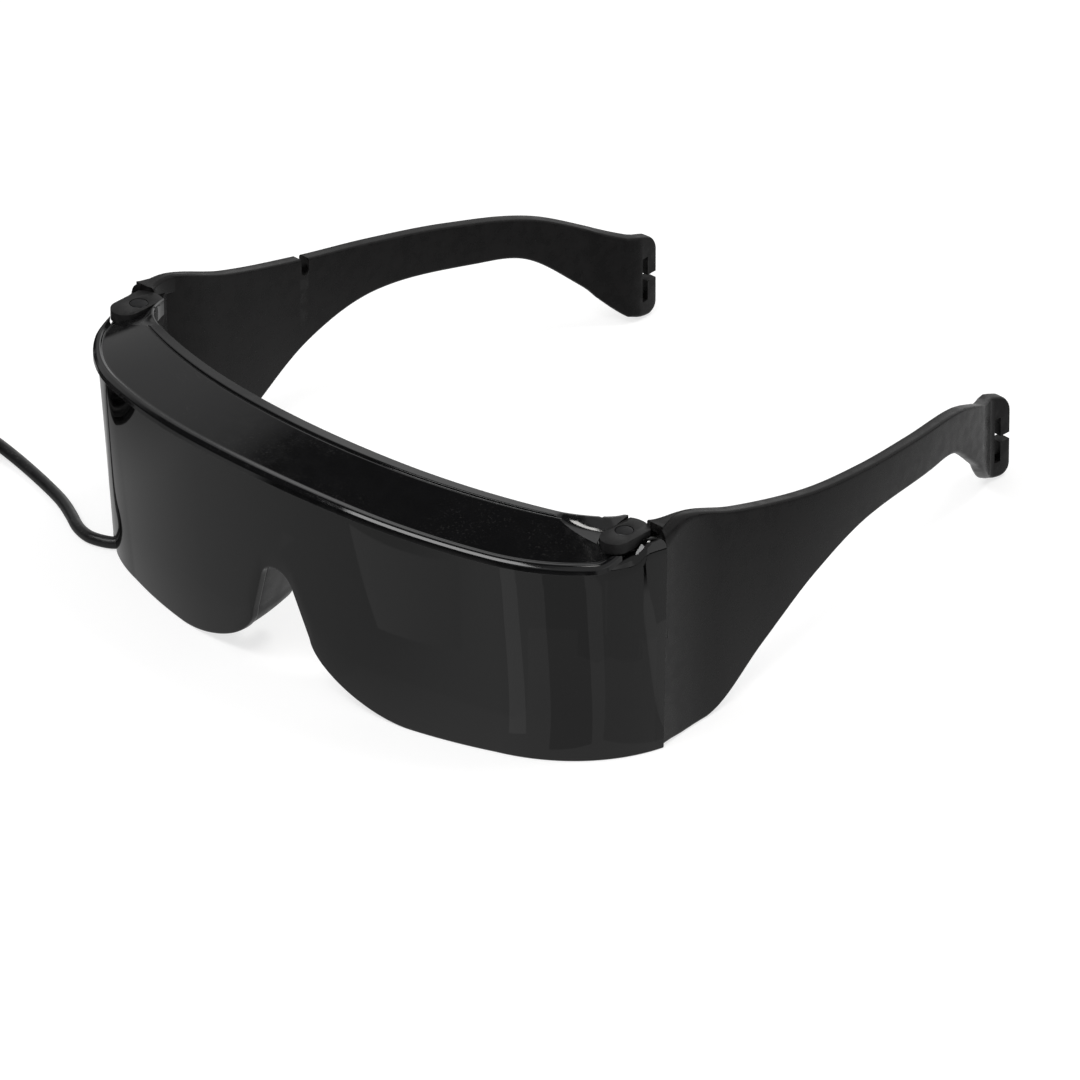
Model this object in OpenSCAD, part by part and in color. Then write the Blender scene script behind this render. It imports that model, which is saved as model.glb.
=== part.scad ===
// Wired stereoscopic shutter glasses, worn over spectacles.
// Millimetres. +X is the wearer's left, -Y is the front, +Z is up.
// The origin lies on the table, below the middle of the glasses' own box.

/* [Brow] */
// Distance from the middle of the front lip to the temple seam, front to back
seam_y = 41; // [39:0.5:44]
// Radius of the flat front of the lip, seen from above
rim_r1 = 202; // [180:1:230]
// Radius of the lip between the front and the corner
rim_r2 = 120; // [105:1:135]
// Radius of the lip's corner
rim_r3 = 42; // [39:0.5:44]
// Direction of the lip where the front arc ends
rim_a1 = 6.6; // [5:0.1:9]
// Direction of the lip where the corner begins
rim_a2 = 22.8; // [21:0.1:24]
// Height of the lip at the middle
rim_z = 54; // [52:0.5:55]
// How far the lip falls from the middle to the hinges
rim_drop = 5; // [3:0.5:6]
// Width of the brow band at the middle, from the lip to the rear edge
band_w = 18; // [16:0.5:20]
// Radius of the rear edge between the front and the corner
rear_r2 = 138; // [128:1:146]
// Radius of the rear edge's corner
rear_r3 = 15.7; // [14:0.1:17]
// Height of the rear edge at the middle
rear_z = 58; // [57:0.5:60]
// How far the rear edge falls from the middle to the hinges
rear_drop = 2.6; // [2:0.2:3.4]
// Wall of the brow cover
brow_wall = 2.4; // [2:0.1:3]
// Height of the foot of the brow cover's rear skirt
skirt_z = 47; // [46:0.5:48]
// Thickness of the lip
lip_h = 1.8; // [1.4:0.1:2.2]
// Width of the bead along the rear edge
bead_w = 1.8; // [1.4:0.1:2.4]
// How far the lip curls in beside each hinge
curl_in = 2.8; // [2:0.1:3]
// How far the lip curls up beside each hinge
curl_up = 3.2; // [2.4:0.1:3.4]

/* [Visor] */
// Thickness of the visor
visor_t = 2; // [1.6:0.1:2.4]
// How far the visor stands back under the lip
visor_inset = 1; // [0.8:0.1:1.4]
// How far the visor's foot leans back at the middle
lean_mid = 5.5; // [4:0.5:7]
// How far the visor's foot leans in at the sides
lean_side = 1; // [0.5:0.1:2]
// Height of the nose notch
notch_h = 29; // [26:0.5:32]
// Half the width of the round top of the notch
notch_r = 5; // [4:0.5:6]
// Height where the notch's sides turn into the lobes
notch_turn_z = 14; // [12:0.5:16]
// Half the width of the notch at that height
notch_turn_w = 8.8; // [8:0.2:10]
// Distance of the lobes' lowest stretch from the middle
lobe_x = 35; // [32:0.5:38]

/* [Nose saddle] */
// Depth of the saddle, front to back
saddle_l = 13; // [10:0.5:16]
// Wall of the saddle
saddle_t = 1.6; // [1.2:0.1:1.8]
// How much the saddle widens towards the face
saddle_flare = 1.6; // [1:0.1:1.8]

/* [Carrier and cells] */
// Distance of each eye's axis from the middle
eye_x = 33; // [31:0.5:34]
// Height of each eye's axis
eye_z = 27; // [26:0.5:28]
// How much each cell is turned to follow the front
eye_turn = 10; // [8:0.5:11]
// Width of a shutter cell
cell_w = 38; // [36:0.5:39]
// Height of a shutter cell
cell_h = 26; // [24:0.5:27]
// Thickness of a shutter cell
cell_t = 1.6; // [1.4:0.1:2]
// Thickness of a polariser film
film_t = 0.3; // [0.2:0.05:0.4]
// Border of the carrier around each cell
bezel_w = 5; // [4.5:0.1:5.5]
// Wall of the carrier behind each cell
bezel_back = 1.6; // [1.4:0.1:2]
// Thickness of the carrier's top plate
plate_t = 1.6; // [1.4:0.1:2]
// Distance of the carrier's front faces behind the lip, at the eye axes
bezel_y = 14.2; // [14:0.2:15]
// How far the carrier laps over each cell's edge
bezel_lap = 2; // [1.6:0.1:2.4]
// Thickness of the clear rear windows
window_t = 1; // [0.8:0.1:1.2]
// Thickness of a cell's gasket
gasket_t = 0.8; // [0.6:0.1:1]

/* [Driver board] */
// Length of the driver board
board_l = 46; // [40:1:52]
// Width of the driver board
board_w = 9; // [8:0.5:9.5]
// Thickness of the driver board
board_t = 1; // [0.8:0.1:1.2]
// Side of the square driver chip
chip_w = 5; // [4:0.5:6]
// Diameter of a capacitor
cap_d = 3; // [2.4:0.2:3.2]

/* [Hinges] */
// Distance of each hinge pin from the middle
pin_x = 72; // [71:0.5:73]
// Distance of the pins behind the front lip
pin_y = 36; // [35.5:0.5:36.5]
// Diameter of a hinge pin
pin_d = 3; // [2.6:0.1:3.2]
// Diameter of a pin's head
pin_head_d = 4; // [3.8:0.1:4.4]
// Thickness of a pin's head
pin_head_h = 0.8; // [0.6:0.1:1]
// Height of the top of each upper ear
ear_z = 53.5; // [53:0.1:54]
// Thickness of each ear
ear_t = 2.4; // [2.2:0.1:2.8]
// Width of each ear
ear_w = 6.8; // [6.4:0.1:7]
// Length of each ear in front of its pin
ear_front = 7.6; // [7:0.1:8]
// Height of the underside of each lower ear
ear_low_z = 24; // [23:0.5:26]
// Radius of the round seam between each ear and its temple
seam_r = 6; // [5.7:0.1:6.2]
// Radial clearance of the pins in their bores
pin_gap = 0.05; // [0.03:0.01:0.08]
// Thickness of a friction washer
washer_t = 0.4; // [0.3:0.1:0.6]
// Diameter of a temple's knuckle
knuckle_d = 7.6; // [7.2:0.2:7.8]

/* [Temples] */
// Length of each temple from the seam to the end of its tip
temple_l = 138; // [130:1:146]
// Height of the top of each temple at the seam
temple_z = 54.4; // [54:0.1:55]
// Thickness of a temple
temple_t = 3; // [2.6:0.1:3.4]
// Distance of each temple's outer face from the middle, behind the hinges
temple_x = 77; // [76.5:0.5:77.5]
// Distance of each temple's outer face from the middle, at the seam
temple_seam_x = 80.6; // [80:0.1:81]
// Length over which each temple narrows behind the seam
flare_l = 19; // [16:1:22]
// Radius of the inward curve of each temple
bend_r = 205; // [195:1:260]
// Part of each temple's length that stays straight
bend_from = 0.28; // [0.24:0.01:0.34]
// How much more each tip turns inward, beyond its crease, per millimetre
crease_slope = 0.2; // [0.1:0.05:0.25]
// Part of each temple's length in front of the tip's crease
crease_from = 0.9; // [0.88:0.01:0.92]
// Gap between the visor and each temple
seam_gap = 0.4; // [0.3:0.1:0.6]
// Width of a strap slot
slot_w = 1.8; // [1.5:0.1:2.2]
// Height of a strap slot
slot_h = 11; // [9:0.5:12]
// Height of the gap through which the strap enters
slot_mouth = 1.6; // [1.4:0.1:2]
// Distance of each strap slot from the end of the tip
slot_back = 3.6; // [3.2:0.1:4.2]
// Height of each temple's upper edge at the middle of its arm
arm_z = 38.6; // [37.5:0.1:40]
// Height of each arm at its middle
arm_h = 12.8; // [11.5:0.1:14]
// Height of the top of each tip
tip_z = 19.5; // [18:0.5:21]
// Height of the middle of each strap slot
slot_z = 10; // [9:0.5:11]
// Width of the slot in the right temple's upper edge
top_slot_w = 2.2; // [1.8:0.1:2.6]
// Depth of the slot in the right temple's upper edge
top_slot_h = 4; // [3:0.5:5]
// Distance of that slot behind the seam
top_slot_y = 49; // [46:1:52]

/* [Lead] */
// Diameter of the lead
cord_d = 2.8; // [2.6:0.1:3]
// Diameter of the coil, measured at the middle of its turns
coil_d = 32; // [31:0.5:34]
// Loops in each layer of the coil
coil_loops = 4.5; // [3.5:1:4.5]
// Width of the tie around the coil
tie_w = 5; // [4:0.5:6]
// Thickness of the tie
tie_t = 0.6; // [0.5:0.1:0.8]
// Layers of the coil
coil_layers = 4; // [2:2:4]
// Gap between neighbouring turns of the coil
coil_gap = 0.5; // [0.45:0.05:0.6]
// Diameter of the plug's body
plug_d = 8; // [7.4:0.2:8.6]
// Length of the plug's body
plug_l = 18; // [16:1:20]
// Diameter of the plug's contact pin
jack_d = 3.5; // [3.4:0.1:3.6]
// Length of the plug's contact pin
jack_l = 14; // [13:0.5:15]

/* [Screws] */
// Diameter of a cover screw
screw_d = 1.8; // [1.6:0.1:2]
// Diameter of a cover screw's head
screw_head_d = 3.2; // [2.8:0.1:3.6]
// Length of a cover screw under its head
screw_l = 5; // [4.5:0.1:5.5]

/* [Hidden] */

$fn = 64;
// Clearance of pieces that rest against each other
fit_gap = 0.1;
// Overlap of shapes that are joined or cut
eps = 0.01;

function unit(v) = v/norm(v);

// Plan curves: three tangent arcs on each side of the middle, from the front to the corner.
// A curve is [front radius, middle radius, corner radius, first turn, second turn, start y].
rim_c = [rim_r1, rim_r2, rim_r3, rim_a1, rim_a2, 0];
rear_c = [rim_r1 - band_w, rear_r2, rear_r3, rim_a1, rim_a2, band_w];

function arc_len(r, a) = r*a*PI/180;
function arc_x(r, a, b) = r*(sin(b) - sin(a));
function arc_y(r, a, b) = r*(cos(a) - cos(b));
function front_len(c) = arc_len(c[0], c[3]);
function mid_len(c) = arc_len(c[1], c[4] - c[3]);
// Direction of a curve at the distance s along it
function plan_a(c, s) =
    s < front_len(c) ? s/c[0]*180/PI
    : s < front_len(c) + mid_len(c) ? c[3] + (s - front_len(c))/c[1]*180/PI
    : c[4] + (s - front_len(c) - mid_len(c))/c[2]*180/PI;
function plan_x(c, a) =
    arc_x(c[0], 0, min(a, c[3]))
    + (a > c[3] ? arc_x(c[1], c[3], min(a, c[4])) : 0)
    + (a > c[4] ? arc_x(c[2], c[4], a) : 0);
function plan_y(c, a) =
    c[5] + arc_y(c[0], 0, min(a, c[3]))
    + (a > c[3] ? arc_y(c[1], c[3], min(a, c[4])) : 0)
    + (a > c[4] ? arc_y(c[2], c[4], a) : 0);
// Point of a curve at the distance s, negative on the right-hand side of the wearer
function plan_pt(c, s) = let(a = plan_a(c, abs(s))) [sign(s)*plan_x(c, a), plan_y(c, a)];
// Outward direction of a curve at the distance s
function plan_n(c, s) = let(a = plan_a(c, abs(s))) [sign(s)*sin(a), -cos(a)];
// Direction and length of a curve where it reaches the seam
function seam_a(c) = acos(cos(c[4]) - (seam_y - plan_y(c, c[4]))/c[2]);
function seam_s(c) = front_len(c) + mid_len(c) + arc_len(c[2], seam_a(c) - c[4]);

rim_s = seam_s(rim_c);
rear_s = seam_s(rear_c);
rim_half = plan_x(rim_c, seam_a(rim_c));
rear_half = plan_x(rear_c, seam_a(rear_c));
function rim_h(x) = rim_z - rim_drop*pow(x/rim_half, 2);
function rear_h(x) = rear_z - rear_drop*pow(x/rear_half, 2);

// Overall length, from the front lip to the tips
overall_l = seam_y + seam_gap + temple_l;

module place() {
    translate([0, -overall_l/2, 0]) children();
}

module both_sides(side) {
    if (side > 0) children();
    else mirror([1, 0, 0]) children();
}

// Solid through a row of closed rings, each with the same number of points
module loft(rings) {
    n = len(rings[0]);
    m = len(rings);
    sides = [for (j = [0 : m - 2], i = [0 : n - 1]) let(k = (i + 1)%n)
        each [[j*n + i, j*n + k, (j + 1)*n + k], [j*n + i, (j + 1)*n + k, (j + 1)*n + i]]];
    ends = [[for (i = [n - 1 : -1 : 0]) i], [for (i = [0 : n - 1]) (m - 1)*n + i]];
    polyhedron(points = [for (r = rings) each r], faces = concat(sides, ends), convexity = 8);
}

// Smooth value at f from a list of [f, value] points
function slope_at(p, i) = let(a = max(i - 1, 0), b = min(i + 1, len(p) - 1))
    (p[b][1] - p[a][1])/(p[b][0] - p[a][0]);
function span_of(p, f, i = 0) = i >= len(p) - 2 || f < p[i + 1][0] ? i : span_of(p, f, i + 1);
function smooth(p, f) = let(i = span_of(p, f), w = p[i + 1][0] - p[i][0], t = (f - p[i][0])/w)
    (2*pow(t, 3) - 3*t*t + 1)*p[i][1] + (pow(t, 3) - 2*t*t + t)*w*slope_at(p, i)
    + (3*t*t - 2*pow(t, 3))*p[i + 1][1] + (pow(t, 3) - t*t)*w*slope_at(p, i + 1);

// Brow cover: one section from the lip to the rear edge, swept along both curves
lip_w = 1.4;
lip_rise = 0.3;
lip_seat = 3.6;
groove_w = 0.8;
groove_h = 1.1;
brow_steps = 36;

// Share of the lip's curl at the distance y behind the front
curl_from = 25;
curl_to = 35;
// The lip ends beside the ear, at the distance lip_end behind the front
lip_end = 33;
function curl(y) = let(t = min(1, max(0, (y - curl_from)/(curl_to - curl_from)))) t*t*(3 - 2*t);

function brow_ring(u) =
    let(p0 = plan_pt(rim_c, u*rim_s), q = plan_pt(rear_c, u*rear_s), d = unit(q - p0), c = curl(p0[1]),
        p = p0 + c*curl_in*d, w = norm(q - p), bead = w - bead_w,
        zr = rim_h(p0[0]) + c*curl_up, zq = rear_h(q[0]))
    [for (k = [
        [0, zr - lip_h], [0, zr], [0.4, zr + lip_rise], [lip_w, zr + lip_rise],
        [lip_w + groove_w, zr + lip_rise/5],
        [bead - groove_w, zq - groove_h + 0.2], [bead, zq - groove_h], [bead + 0.3, zq - 0.2],
        [bead + bead_w/2, zq], [w - 0.2, zq - 0.4], [w, zq - 1],
        [w, skirt_z], [w - brow_wall, skirt_z], [w - brow_wall, zq - groove_h - brow_wall],
        [lip_seat + groove_w, zr - lip_h + 0.3], [lip_seat, zr - lip_h]])
        [p[0] + d[0]*k[0], p[1] + d[1]*k[0], k[1]]];

// Middle of the brow's box at the share u of its length
function box_pt(u) = (plan_pt(rim_c, u*rim_s) + plan_pt(rear_c, u*rear_s))/2;
function box_top(u) = let(p = plan_pt(rim_c, u*rim_s), q = plan_pt(rear_c, u*rear_s))
    (rim_h(p[0]) + rear_h(q[0]) - groove_h)/2;
screw_u = [-0.78, -0.34, 0.34, 0.78];
boss_d = 4.6;

// Outline of an ear, seen from above, with its pin at the origin
ear_shift = 0.6;
ear_room = 0.7;
module ear_outline(gap = 0) {
    translate([ear_shift, ear_w/2 - ear_front]) circle(d = ear_w + 2*gap);
    intersection() {
        translate([ear_shift - ear_w/2 - gap, ear_w/2 - ear_front]) square([ear_w + 2*gap, 2*ear_front]);
        circle(r = seam_r - seam_gap + gap);
    }
    translate([ear_shift - ear_w/2 - gap, ear_w/2 - ear_front])
        square([ear_w + 2*gap, ear_front - ear_w/2 + eps]);
}

// Room for the folding temple behind and inside each pin
sweep_r = 7.4;
sweep_front = 1.6;
module temple_room(low, high) {
    intersection() {
        translate([pin_x, pin_y, low]) cylinder(r = sweep_r, h = high - low);
        translate([pin_x - 2*sweep_r, pin_y - sweep_front, low - eps])
            cube([2*sweep_r + ear_shift + ear_w/2 + ear_room, 2*sweep_r, high - low + 2*eps]);
    }
}

module brow_cover() {
    color([0.05, 0.05, 0.055]) place() difference() {
        union() {
            loft([for (i = [-brow_steps : brow_steps]) brow_ring(i/brow_steps)]);
            for (u = screw_u)
                translate([box_pt(u)[0], box_pt(u)[1], skirt_z])
                    cylinder(d = boss_d, h = box_top(u) - skirt_z - 1.2);
        }
        for (side = [-1, 1]) both_sides(side) {
            translate([pin_x, pin_y, skirt_z - eps])
                linear_extrude(rear_z) ear_outline(ear_room);
            temple_room(skirt_z - 1, rear_z + 1);
            translate([pin_x, lip_end, skirt_z - rim_drop]) cube([4*ear_w, 2*ear_front, rear_z]);
        }
        for (u = screw_u)
            translate([box_pt(u)[0], box_pt(u)[1], skirt_z - eps])
                cylinder(d = screw_d, h = screw_l - plate_t);
    }
}

// Visor: lower edge with the nose notch, and a wall that leans in towards its foot
notch_side = 0.94;
lobe_power = 1.7;
function low_edge(x) =
    let(t = abs(x), x1 = notch_side*notch_r, z1 = notch_h - notch_r + sqrt(pow(notch_r, 2) - x1*x1))
    t <= x1 ? notch_h - notch_r + sqrt(pow(notch_r, 2) - t*t)
    : t <= notch_turn_w ? z1 + (notch_turn_z - z1)*(t - x1)/(notch_turn_w - x1)
    : t < lobe_x ? let(k = (lobe_x - t)/(lobe_x - notch_turn_w))
        notch_turn_z*(1 - pow(1 - pow(k, lobe_power), 1/lobe_power))
    : 0;
function lean(s) = let(a = plan_a(rim_c, abs(s))) lean_mid*pow(cos(a), 2) + lean_side*pow(sin(a), 2);
end_rise = 2;
end_rise_l = 3;
function visor_top(s) =
    let(p = plan_pt(rim_c, s), t = min(1, max(0, (p[1] - lip_end - seam_gap)/end_rise_l)))
    rim_h(p[0]) + curl(p[1])*curl_up - lip_h - fit_gap + end_rise*t*t*(3 - 2*t);
// Distance of the visor's outer face inside the lip at the height z, with its shoulder beside the hinge
shoulder_h = 4;
function visor_off(s, z) = let(t = max(0, 1 - (visor_top(s) - z)/shoulder_h))
    visor_inset + lean(s)*(visor_top(s) - z)/visor_top(s)
    + curl(plan_pt(rim_c, s)[1])*curl_in*(1 - sqrt(1 - t*t));
function visor_pt(s, z, deep) =
    let(q = plan_pt(rim_c, s) - plan_n(rim_c, s)*(visor_off(s, z) + deep)) [q[0], q[1], z];
visor_s = rim_s - 0.3*(visor_inset + visor_t);
visor_steps = 58;
station_mid = 0.62;
edge_cut = 0.4;
shoulder_cuts = [1, 0.6, 0.3, 0.1];
// Stations lie closer together around the notch
function visor_station(i) = let(u = i/visor_steps) visor_s*(station_mid*u + (1 - station_mid)*pow(u, 3));

function visor_ring(s) =
    let(z0 = low_edge(plan_pt(rim_c, s)[0]), z1 = visor_top(s), zm = (z0 + z1)/2, n = len(shoulder_cuts))
    concat([visor_pt(s, z0, edge_cut), visor_pt(s, z0 + edge_cut, 0), visor_pt(s, zm, 0)],
        [for (t = shoulder_cuts) visor_pt(s, z1 - t*shoulder_h, 0)],
        [visor_pt(s, z1, 0), visor_pt(s, z1, visor_t)],
        [for (i = [n - 1 : -1 : 0]) visor_pt(s, z1 - shoulder_cuts[i]*shoulder_h, visor_t)],
        [visor_pt(s, zm, visor_t), visor_pt(s, z0 + edge_cut, visor_t),
            visor_pt(s, z0, visor_t - edge_cut)]);

module visor() {
    color([0.09, 0.09, 0.095]) place() difference() {
        loft([for (i = [-visor_steps : visor_steps]) visor_ring(visor_station(i))]);
        cord_arch();
        for (side = [-1, 1]) translate([side*pin_x, pin_y, ear_low_z - seam_gap])
            cylinder(r = ear_low_r + seam_gap, h = ear_z - ear_low_z);
        for (side = [-1, 1]) both_sides(side) translate([pin_x, pin_y, ear_z - ear_t - seam_gap])
            linear_extrude(ear_z) ear_outline(seam_gap);
    }
}

// Way of the lead under the visor's foot
arch_room = 0.8;
arch_l = 14;
module cord_arch() {
    a = atan2(cord_pts[5][1] - cord_pts[3][1], cord_pts[5][0] - cord_pts[3][0]);
    r = cord_d/2 + arch_room;
    translate(cord_pts[4]) rotate([0, 0, a]) {
        rotate([0, 90, 0]) cylinder(r = r, h = arch_l, center = true);
        translate([-arch_l/2, -r, -cord_d]) cube([arch_l, 2*r, cord_d]);
    }
}

// Nose saddle: a wall that follows the notch and goes back from it
saddle_x = 15;
saddle_steps = 20;
function saddle_ring(x) =
    let(dx = 0.05, t = [2*dx, low_edge(x + dx) - low_edge(x - dx)], n = [-t[1], t[0]]/norm(t),
        z = low_edge(x), yf = visor_pt(x, z, visor_t)[1] + fit_gap, yb = yf + saddle_l)
    [[x, yf, z], [x + n[0]*saddle_flare, yb, z + n[1]*saddle_flare],
     [x + n[0]*(saddle_flare + saddle_t), yb, z + n[1]*(saddle_flare + saddle_t)],
     [x + n[0]*saddle_t, yf, z + n[1]*saddle_t]];

module nose_saddle() {
    color([0.13, 0.13, 0.14]) place()
        loft([for (i = [saddle_steps : -1 : -saddle_steps]) saddle_ring(i*saddle_x/saddle_steps)]);
}

// Carrier: a top plate that closes the brow's box, and a bezel for each cell
plate_z = skirt_z - fit_gap - plate_t;
film_gap = 0.05;
stack_t = 2*film_t + cell_t + gasket_t + 4*film_gap;
bezel_t = 0.5 + stack_t + bezel_back;
bezel_h = plate_z - (eye_z - cell_h/2 - bezel_w);
plate_u = 0.97;
plate_steps = 24;
arm_z0 = 30;

function plate_front(s) = let(q = plan_pt(rim_c, s) - plan_n(rim_c, s)*(visor_inset + visor_t + 1.4)) q;

module plate_outline() {
    polygon(concat(
        [for (i = [-plate_steps : plate_steps]) plate_front(plate_u*rim_s*i/plate_steps)],
        [for (i = [plate_steps : -1 : -plate_steps]) plan_pt(rear_c, plate_u*rear_s*i/plate_steps)]));
}

// Frame of an eye: its origin is on the front face, at the eye axis
module at_eye(side) {
    translate([side*eye_x, bezel_y, eye_z]) rotate([0, 0, side*eye_turn]) children();
}

module slab(w, h, t, y) {
    translate([-w/2, y, -h/2]) cube([w, t, h]);
}

module nose_room() {
    room = [[-0.1, -1], [saddle_x + 6, -1], [saddle_x + 3.4, notch_turn_z - 4],
        [notch_turn_w + 3.8, notch_turn_z], [notch_r + 4, notch_h - 1], [3, notch_h + 4],
        [-0.1, notch_h + 4]];
    translate([0, 2*bezel_y, 0]) rotate([90, 0, 0]) linear_extrude(3*bezel_y)
        for (side = [-1, 1]) polygon([for (p = room) [side*p[0], p[1]]]);
}

bracket_w = 5.5;
bracket_top_w = 7;
bracket_t = 2.5;
bracket_x = pin_x - 6.5;
bracket_y = pin_y - ear_front;

module side_arm() {
    y0 = bezel_y + (cell_w/2 + bezel_w)*sin(eye_turn);
    x0 = eye_x + (cell_w/2 + bezel_w)*cos(eye_turn);
    translate([0, 0, arm_z0]) linear_extrude(plate_z - arm_z0 + eps)
        polygon([[x0 - 2, y0 + 1.4], [x0 - 2, y0 + bezel_t - 0.4],
            [bracket_x - fit_gap, bracket_y + bracket_t], [bracket_x - fit_gap, bracket_y]]);
}

module carrier_frame() {
    color([0.12, 0.12, 0.13]) place() difference() {
        union() {
            translate([0, 0, plate_z]) linear_extrude(plate_t) plate_outline();
            for (side = [-1, 1]) {
                at_eye(side) translate([-cell_w/2 - bezel_w, 0, -cell_h/2 - bezel_w])
                    cube([cell_w + 2*bezel_w, bezel_t, bezel_h + eps]);
                both_sides(side) side_arm();
            }
            translate([-eye_x/2, bezel_y - 3, notch_h + 5])
                cube([eye_x, bezel_t + 1, plate_z - notch_h - 5 + eps]);
            at_relief() cylinder(d = relief_d + 2*clip_t, h = relief_l);
            translate([cord_pts[0][0] - relief_d, cord_pts[0][1] - 5, cord_pts[0][2] - relief_l])
                cube([2*relief_d, 5, relief_l]);
        }
        for (side = [-1, 1]) {
            at_eye(side) {
                slab(cell_w + 2*fit_gap, cell_h + 2*fit_gap, stack_t + 0.5 + eps, -eps);
                slab(cell_w - 2*bezel_lap, cell_h - 2*bezel_lap, bezel_t + 2, -1);
                slab(cell_w - bezel_lap + 2*fit_gap, cell_h - bezel_lap + 2*fit_gap, window_t + 1,
                    bezel_t - window_t);
            }
            both_sides(side) {
                temple_room(plate_z - 1, skirt_z + 1);
                translate([bracket_x - fit_gap, bracket_y - fit_gap, plate_z - 1])
                    cube([2*ear_w, 2*ear_front, plate_t + 2]);
                translate([pin_x, pin_y, plate_z - 1]) cylinder(r = sweep_r, h = plate_t + 2);
            }
        }
        nose_room();
        for (u = screw_u)
            translate([box_pt(u)[0], box_pt(u)[1], plate_z - screw_head_h - 1]) {
                cylinder(d = screw_d + 2*fit_gap, h = plate_t + screw_head_h + 2);
                cylinder(d = screw_head_d + 2*seam_gap, h = screw_head_h + 1);
            }
        for (side = [-1, 1]) at_eye(side)
            translate([-side*flex_x - flex_w/2 - seam_gap, flex_y - seam_gap, cell_h/2])
                cube([flex_w + 2*seam_gap, flex_t + 2*seam_gap, bezel_h]);
        translate([lead_pts[6][0], lead_pts[6][1], lead_groove_z])
            cylinder(d = lead_d + 1, h = skirt_z - lead_groove_z);
        translate([(lead_pts[5][0] + lead_pts[6][0])/2, (lead_pts[5][1] + lead_pts[6][1])/2, plate_z - 1])
            cylinder(d = lead_d + 1.4, h = plate_t + 2);
        at_relief() {
            translate([0, 0, -1]) cylinder(d = relief_d + 2*fit_gap, h = 2*relief_l);
            translate([0, 0, relief_l]) cylinder(d = relief_d + 1.6, h = 3*relief_l);
        }
    }
}

// Hinge bracket: two ears on a wall in front of the knuckle
ear_low_r = 3.8;
washer_d = 7;
module hinge_bracket(side) {
    color([0.1, 0.1, 0.105]) place() both_sides(side) difference() {
        union() {
            translate([pin_x, pin_y, ear_z - ear_t]) linear_extrude(ear_t) ear_outline();
            translate([bracket_x, bracket_y, ear_low_z]) cube([bracket_w, bracket_t, skirt_z - ear_low_z]);
            translate([0, 0, skirt_z - bracket_t])
                linear_extrude(ear_z - skirt_z + bracket_t - eps) intersection() {
                    translate([pin_x, pin_y]) ear_outline();
                    translate([bracket_x, bracket_y]) square([bracket_top_w, bracket_t]);
                }
            translate([pin_x, pin_y, ear_low_z]) cylinder(r = ear_low_r, h = ear_t);
            translate([bracket_x, bracket_y, ear_low_z]) cube([bracket_w, pin_y - bracket_y, ear_t]);
        }
        translate([pin_x, pin_y, ear_low_z - 1]) cylinder(r = pin_d/2 + pin_gap, h = ear_z - ear_low_z + 2);
        translate([pin_x, pin_y, ear_z - pin_head_h])
            cylinder(d = pin_head_d + 2*fit_gap, h = pin_head_h + 1);
    }
}

module hinge_pin(side) {
    color([0.16, 0.16, 0.17]) place() translate([side*pin_x, pin_y, 0]) {
        translate([0, 0, ear_low_z]) cylinder(d = pin_d, h = ear_z - ear_low_z - pin_head_h + eps);
        translate([0, 0, ear_z - pin_head_h]) cylinder(d = pin_head_d, h = pin_head_h);
    }
}

module hinge_washers(side) {
    color([0.75, 0.75, 0.72]) place() for (z = [ear_low_z + ear_t, ear_z - ear_t - washer_t])
        translate([side*pin_x, pin_y, z]) difference() {
            cylinder(d = washer_d, h = washer_t);
            translate([0, 0, -1]) cylinder(r = pin_d/2 + pin_gap, h = washer_t + 2);
        }
}

// Temple: a tall panel at the seam, a narrow arm, and a wide tip that turns inward
foot_z = 0.5;
top_line = [[0, temple_z], [0.06, temple_z - 0.6], [0.18, temple_z - 6.8], [0.35, arm_z + 3.2], [0.5, arm_z],
    [0.65, arm_z - 3], [0.8, arm_z - 7.2], [0.93, tip_z + 3.6], [1, tip_z]];
// Lower edge of the arm: its share of the length, and its depth below the arm's middle
arm_drops = [[0.24, 15.2], [0.36, 5.4], [0.5, 0], [0.7, 1.9], [0.79, 4.4]];
low_line = concat([[0, foot_z], [0.13, foot_z]],
    [for (k = arm_drops) [k[0], arm_z - arm_h - k[1]]],
    [[0.88, slot_z + 1.5], [0.955, 1.4], [1, 0]]);
temple_steps = 45;
temple_shoulder_w = 1.6;
bevel = 0.6;
tip_r = 2.4;
// Shares of the temple's length at which it has a section: closer together around the tip's corners
temple_f = concat([for (i = [0 : temple_steps - 1]) i/temple_steps*(1 - tip_r/temple_l)],
    [for (a = [0 : 15 : 90]) 1 - tip_r*(1 - sin(a))/temple_l]);
function tip_round(f) = let(d = max(0, tip_r - (1 - f)*temple_l)) tip_r - sqrt(max(0, tip_r*tip_r - d*d));
function temple_y(f) = seam_y + seam_gap + f*temple_l;
function flare(f) = pow(max(0, 1 - f*temple_l/flare_l), 2);
function temple_out(f) =
    temple_x + (temple_seam_x - temple_x)*flare(f)
    - pow(max(0, f - bend_from)*temple_l, 2)/(2*bend_r) - max(0, f - crease_from)*temple_l*crease_slope;
// Direction of the temple seen from above, 0 where it runs straight back
function temple_a(f) = atan2(temple_out(f - 0.004) - temple_out(f + 0.004), 0.008*temple_l);

function temple_ring(f) =
    let(a = temple_a(f), x = temple_out(f), y = temple_y(f),
        z0 = max(0, smooth(low_line, f)) + tip_round(f), z1 = smooth(top_line, f) - tip_round(f),
        n = f == 0 ? [1, 0] : [cos(a), sin(a)],
        b = flare(f), w = bevel + b*temple_shoulder_w, h = bevel + b*shoulder_h)
    [for (k = [[0, z0 + bevel], [0, z1 - h], [0.3*w, z1 - 0.4*h], [w, z1 - 0.1*b*h],
        [temple_t - bevel/2, z1], [temple_t, z1 - bevel/2], [temple_t, z0 + bevel],
        [temple_t - bevel, z0], [bevel, z0]])
        [x - n[0]*k[0], y - n[1]*k[0], k[1]]];

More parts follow.
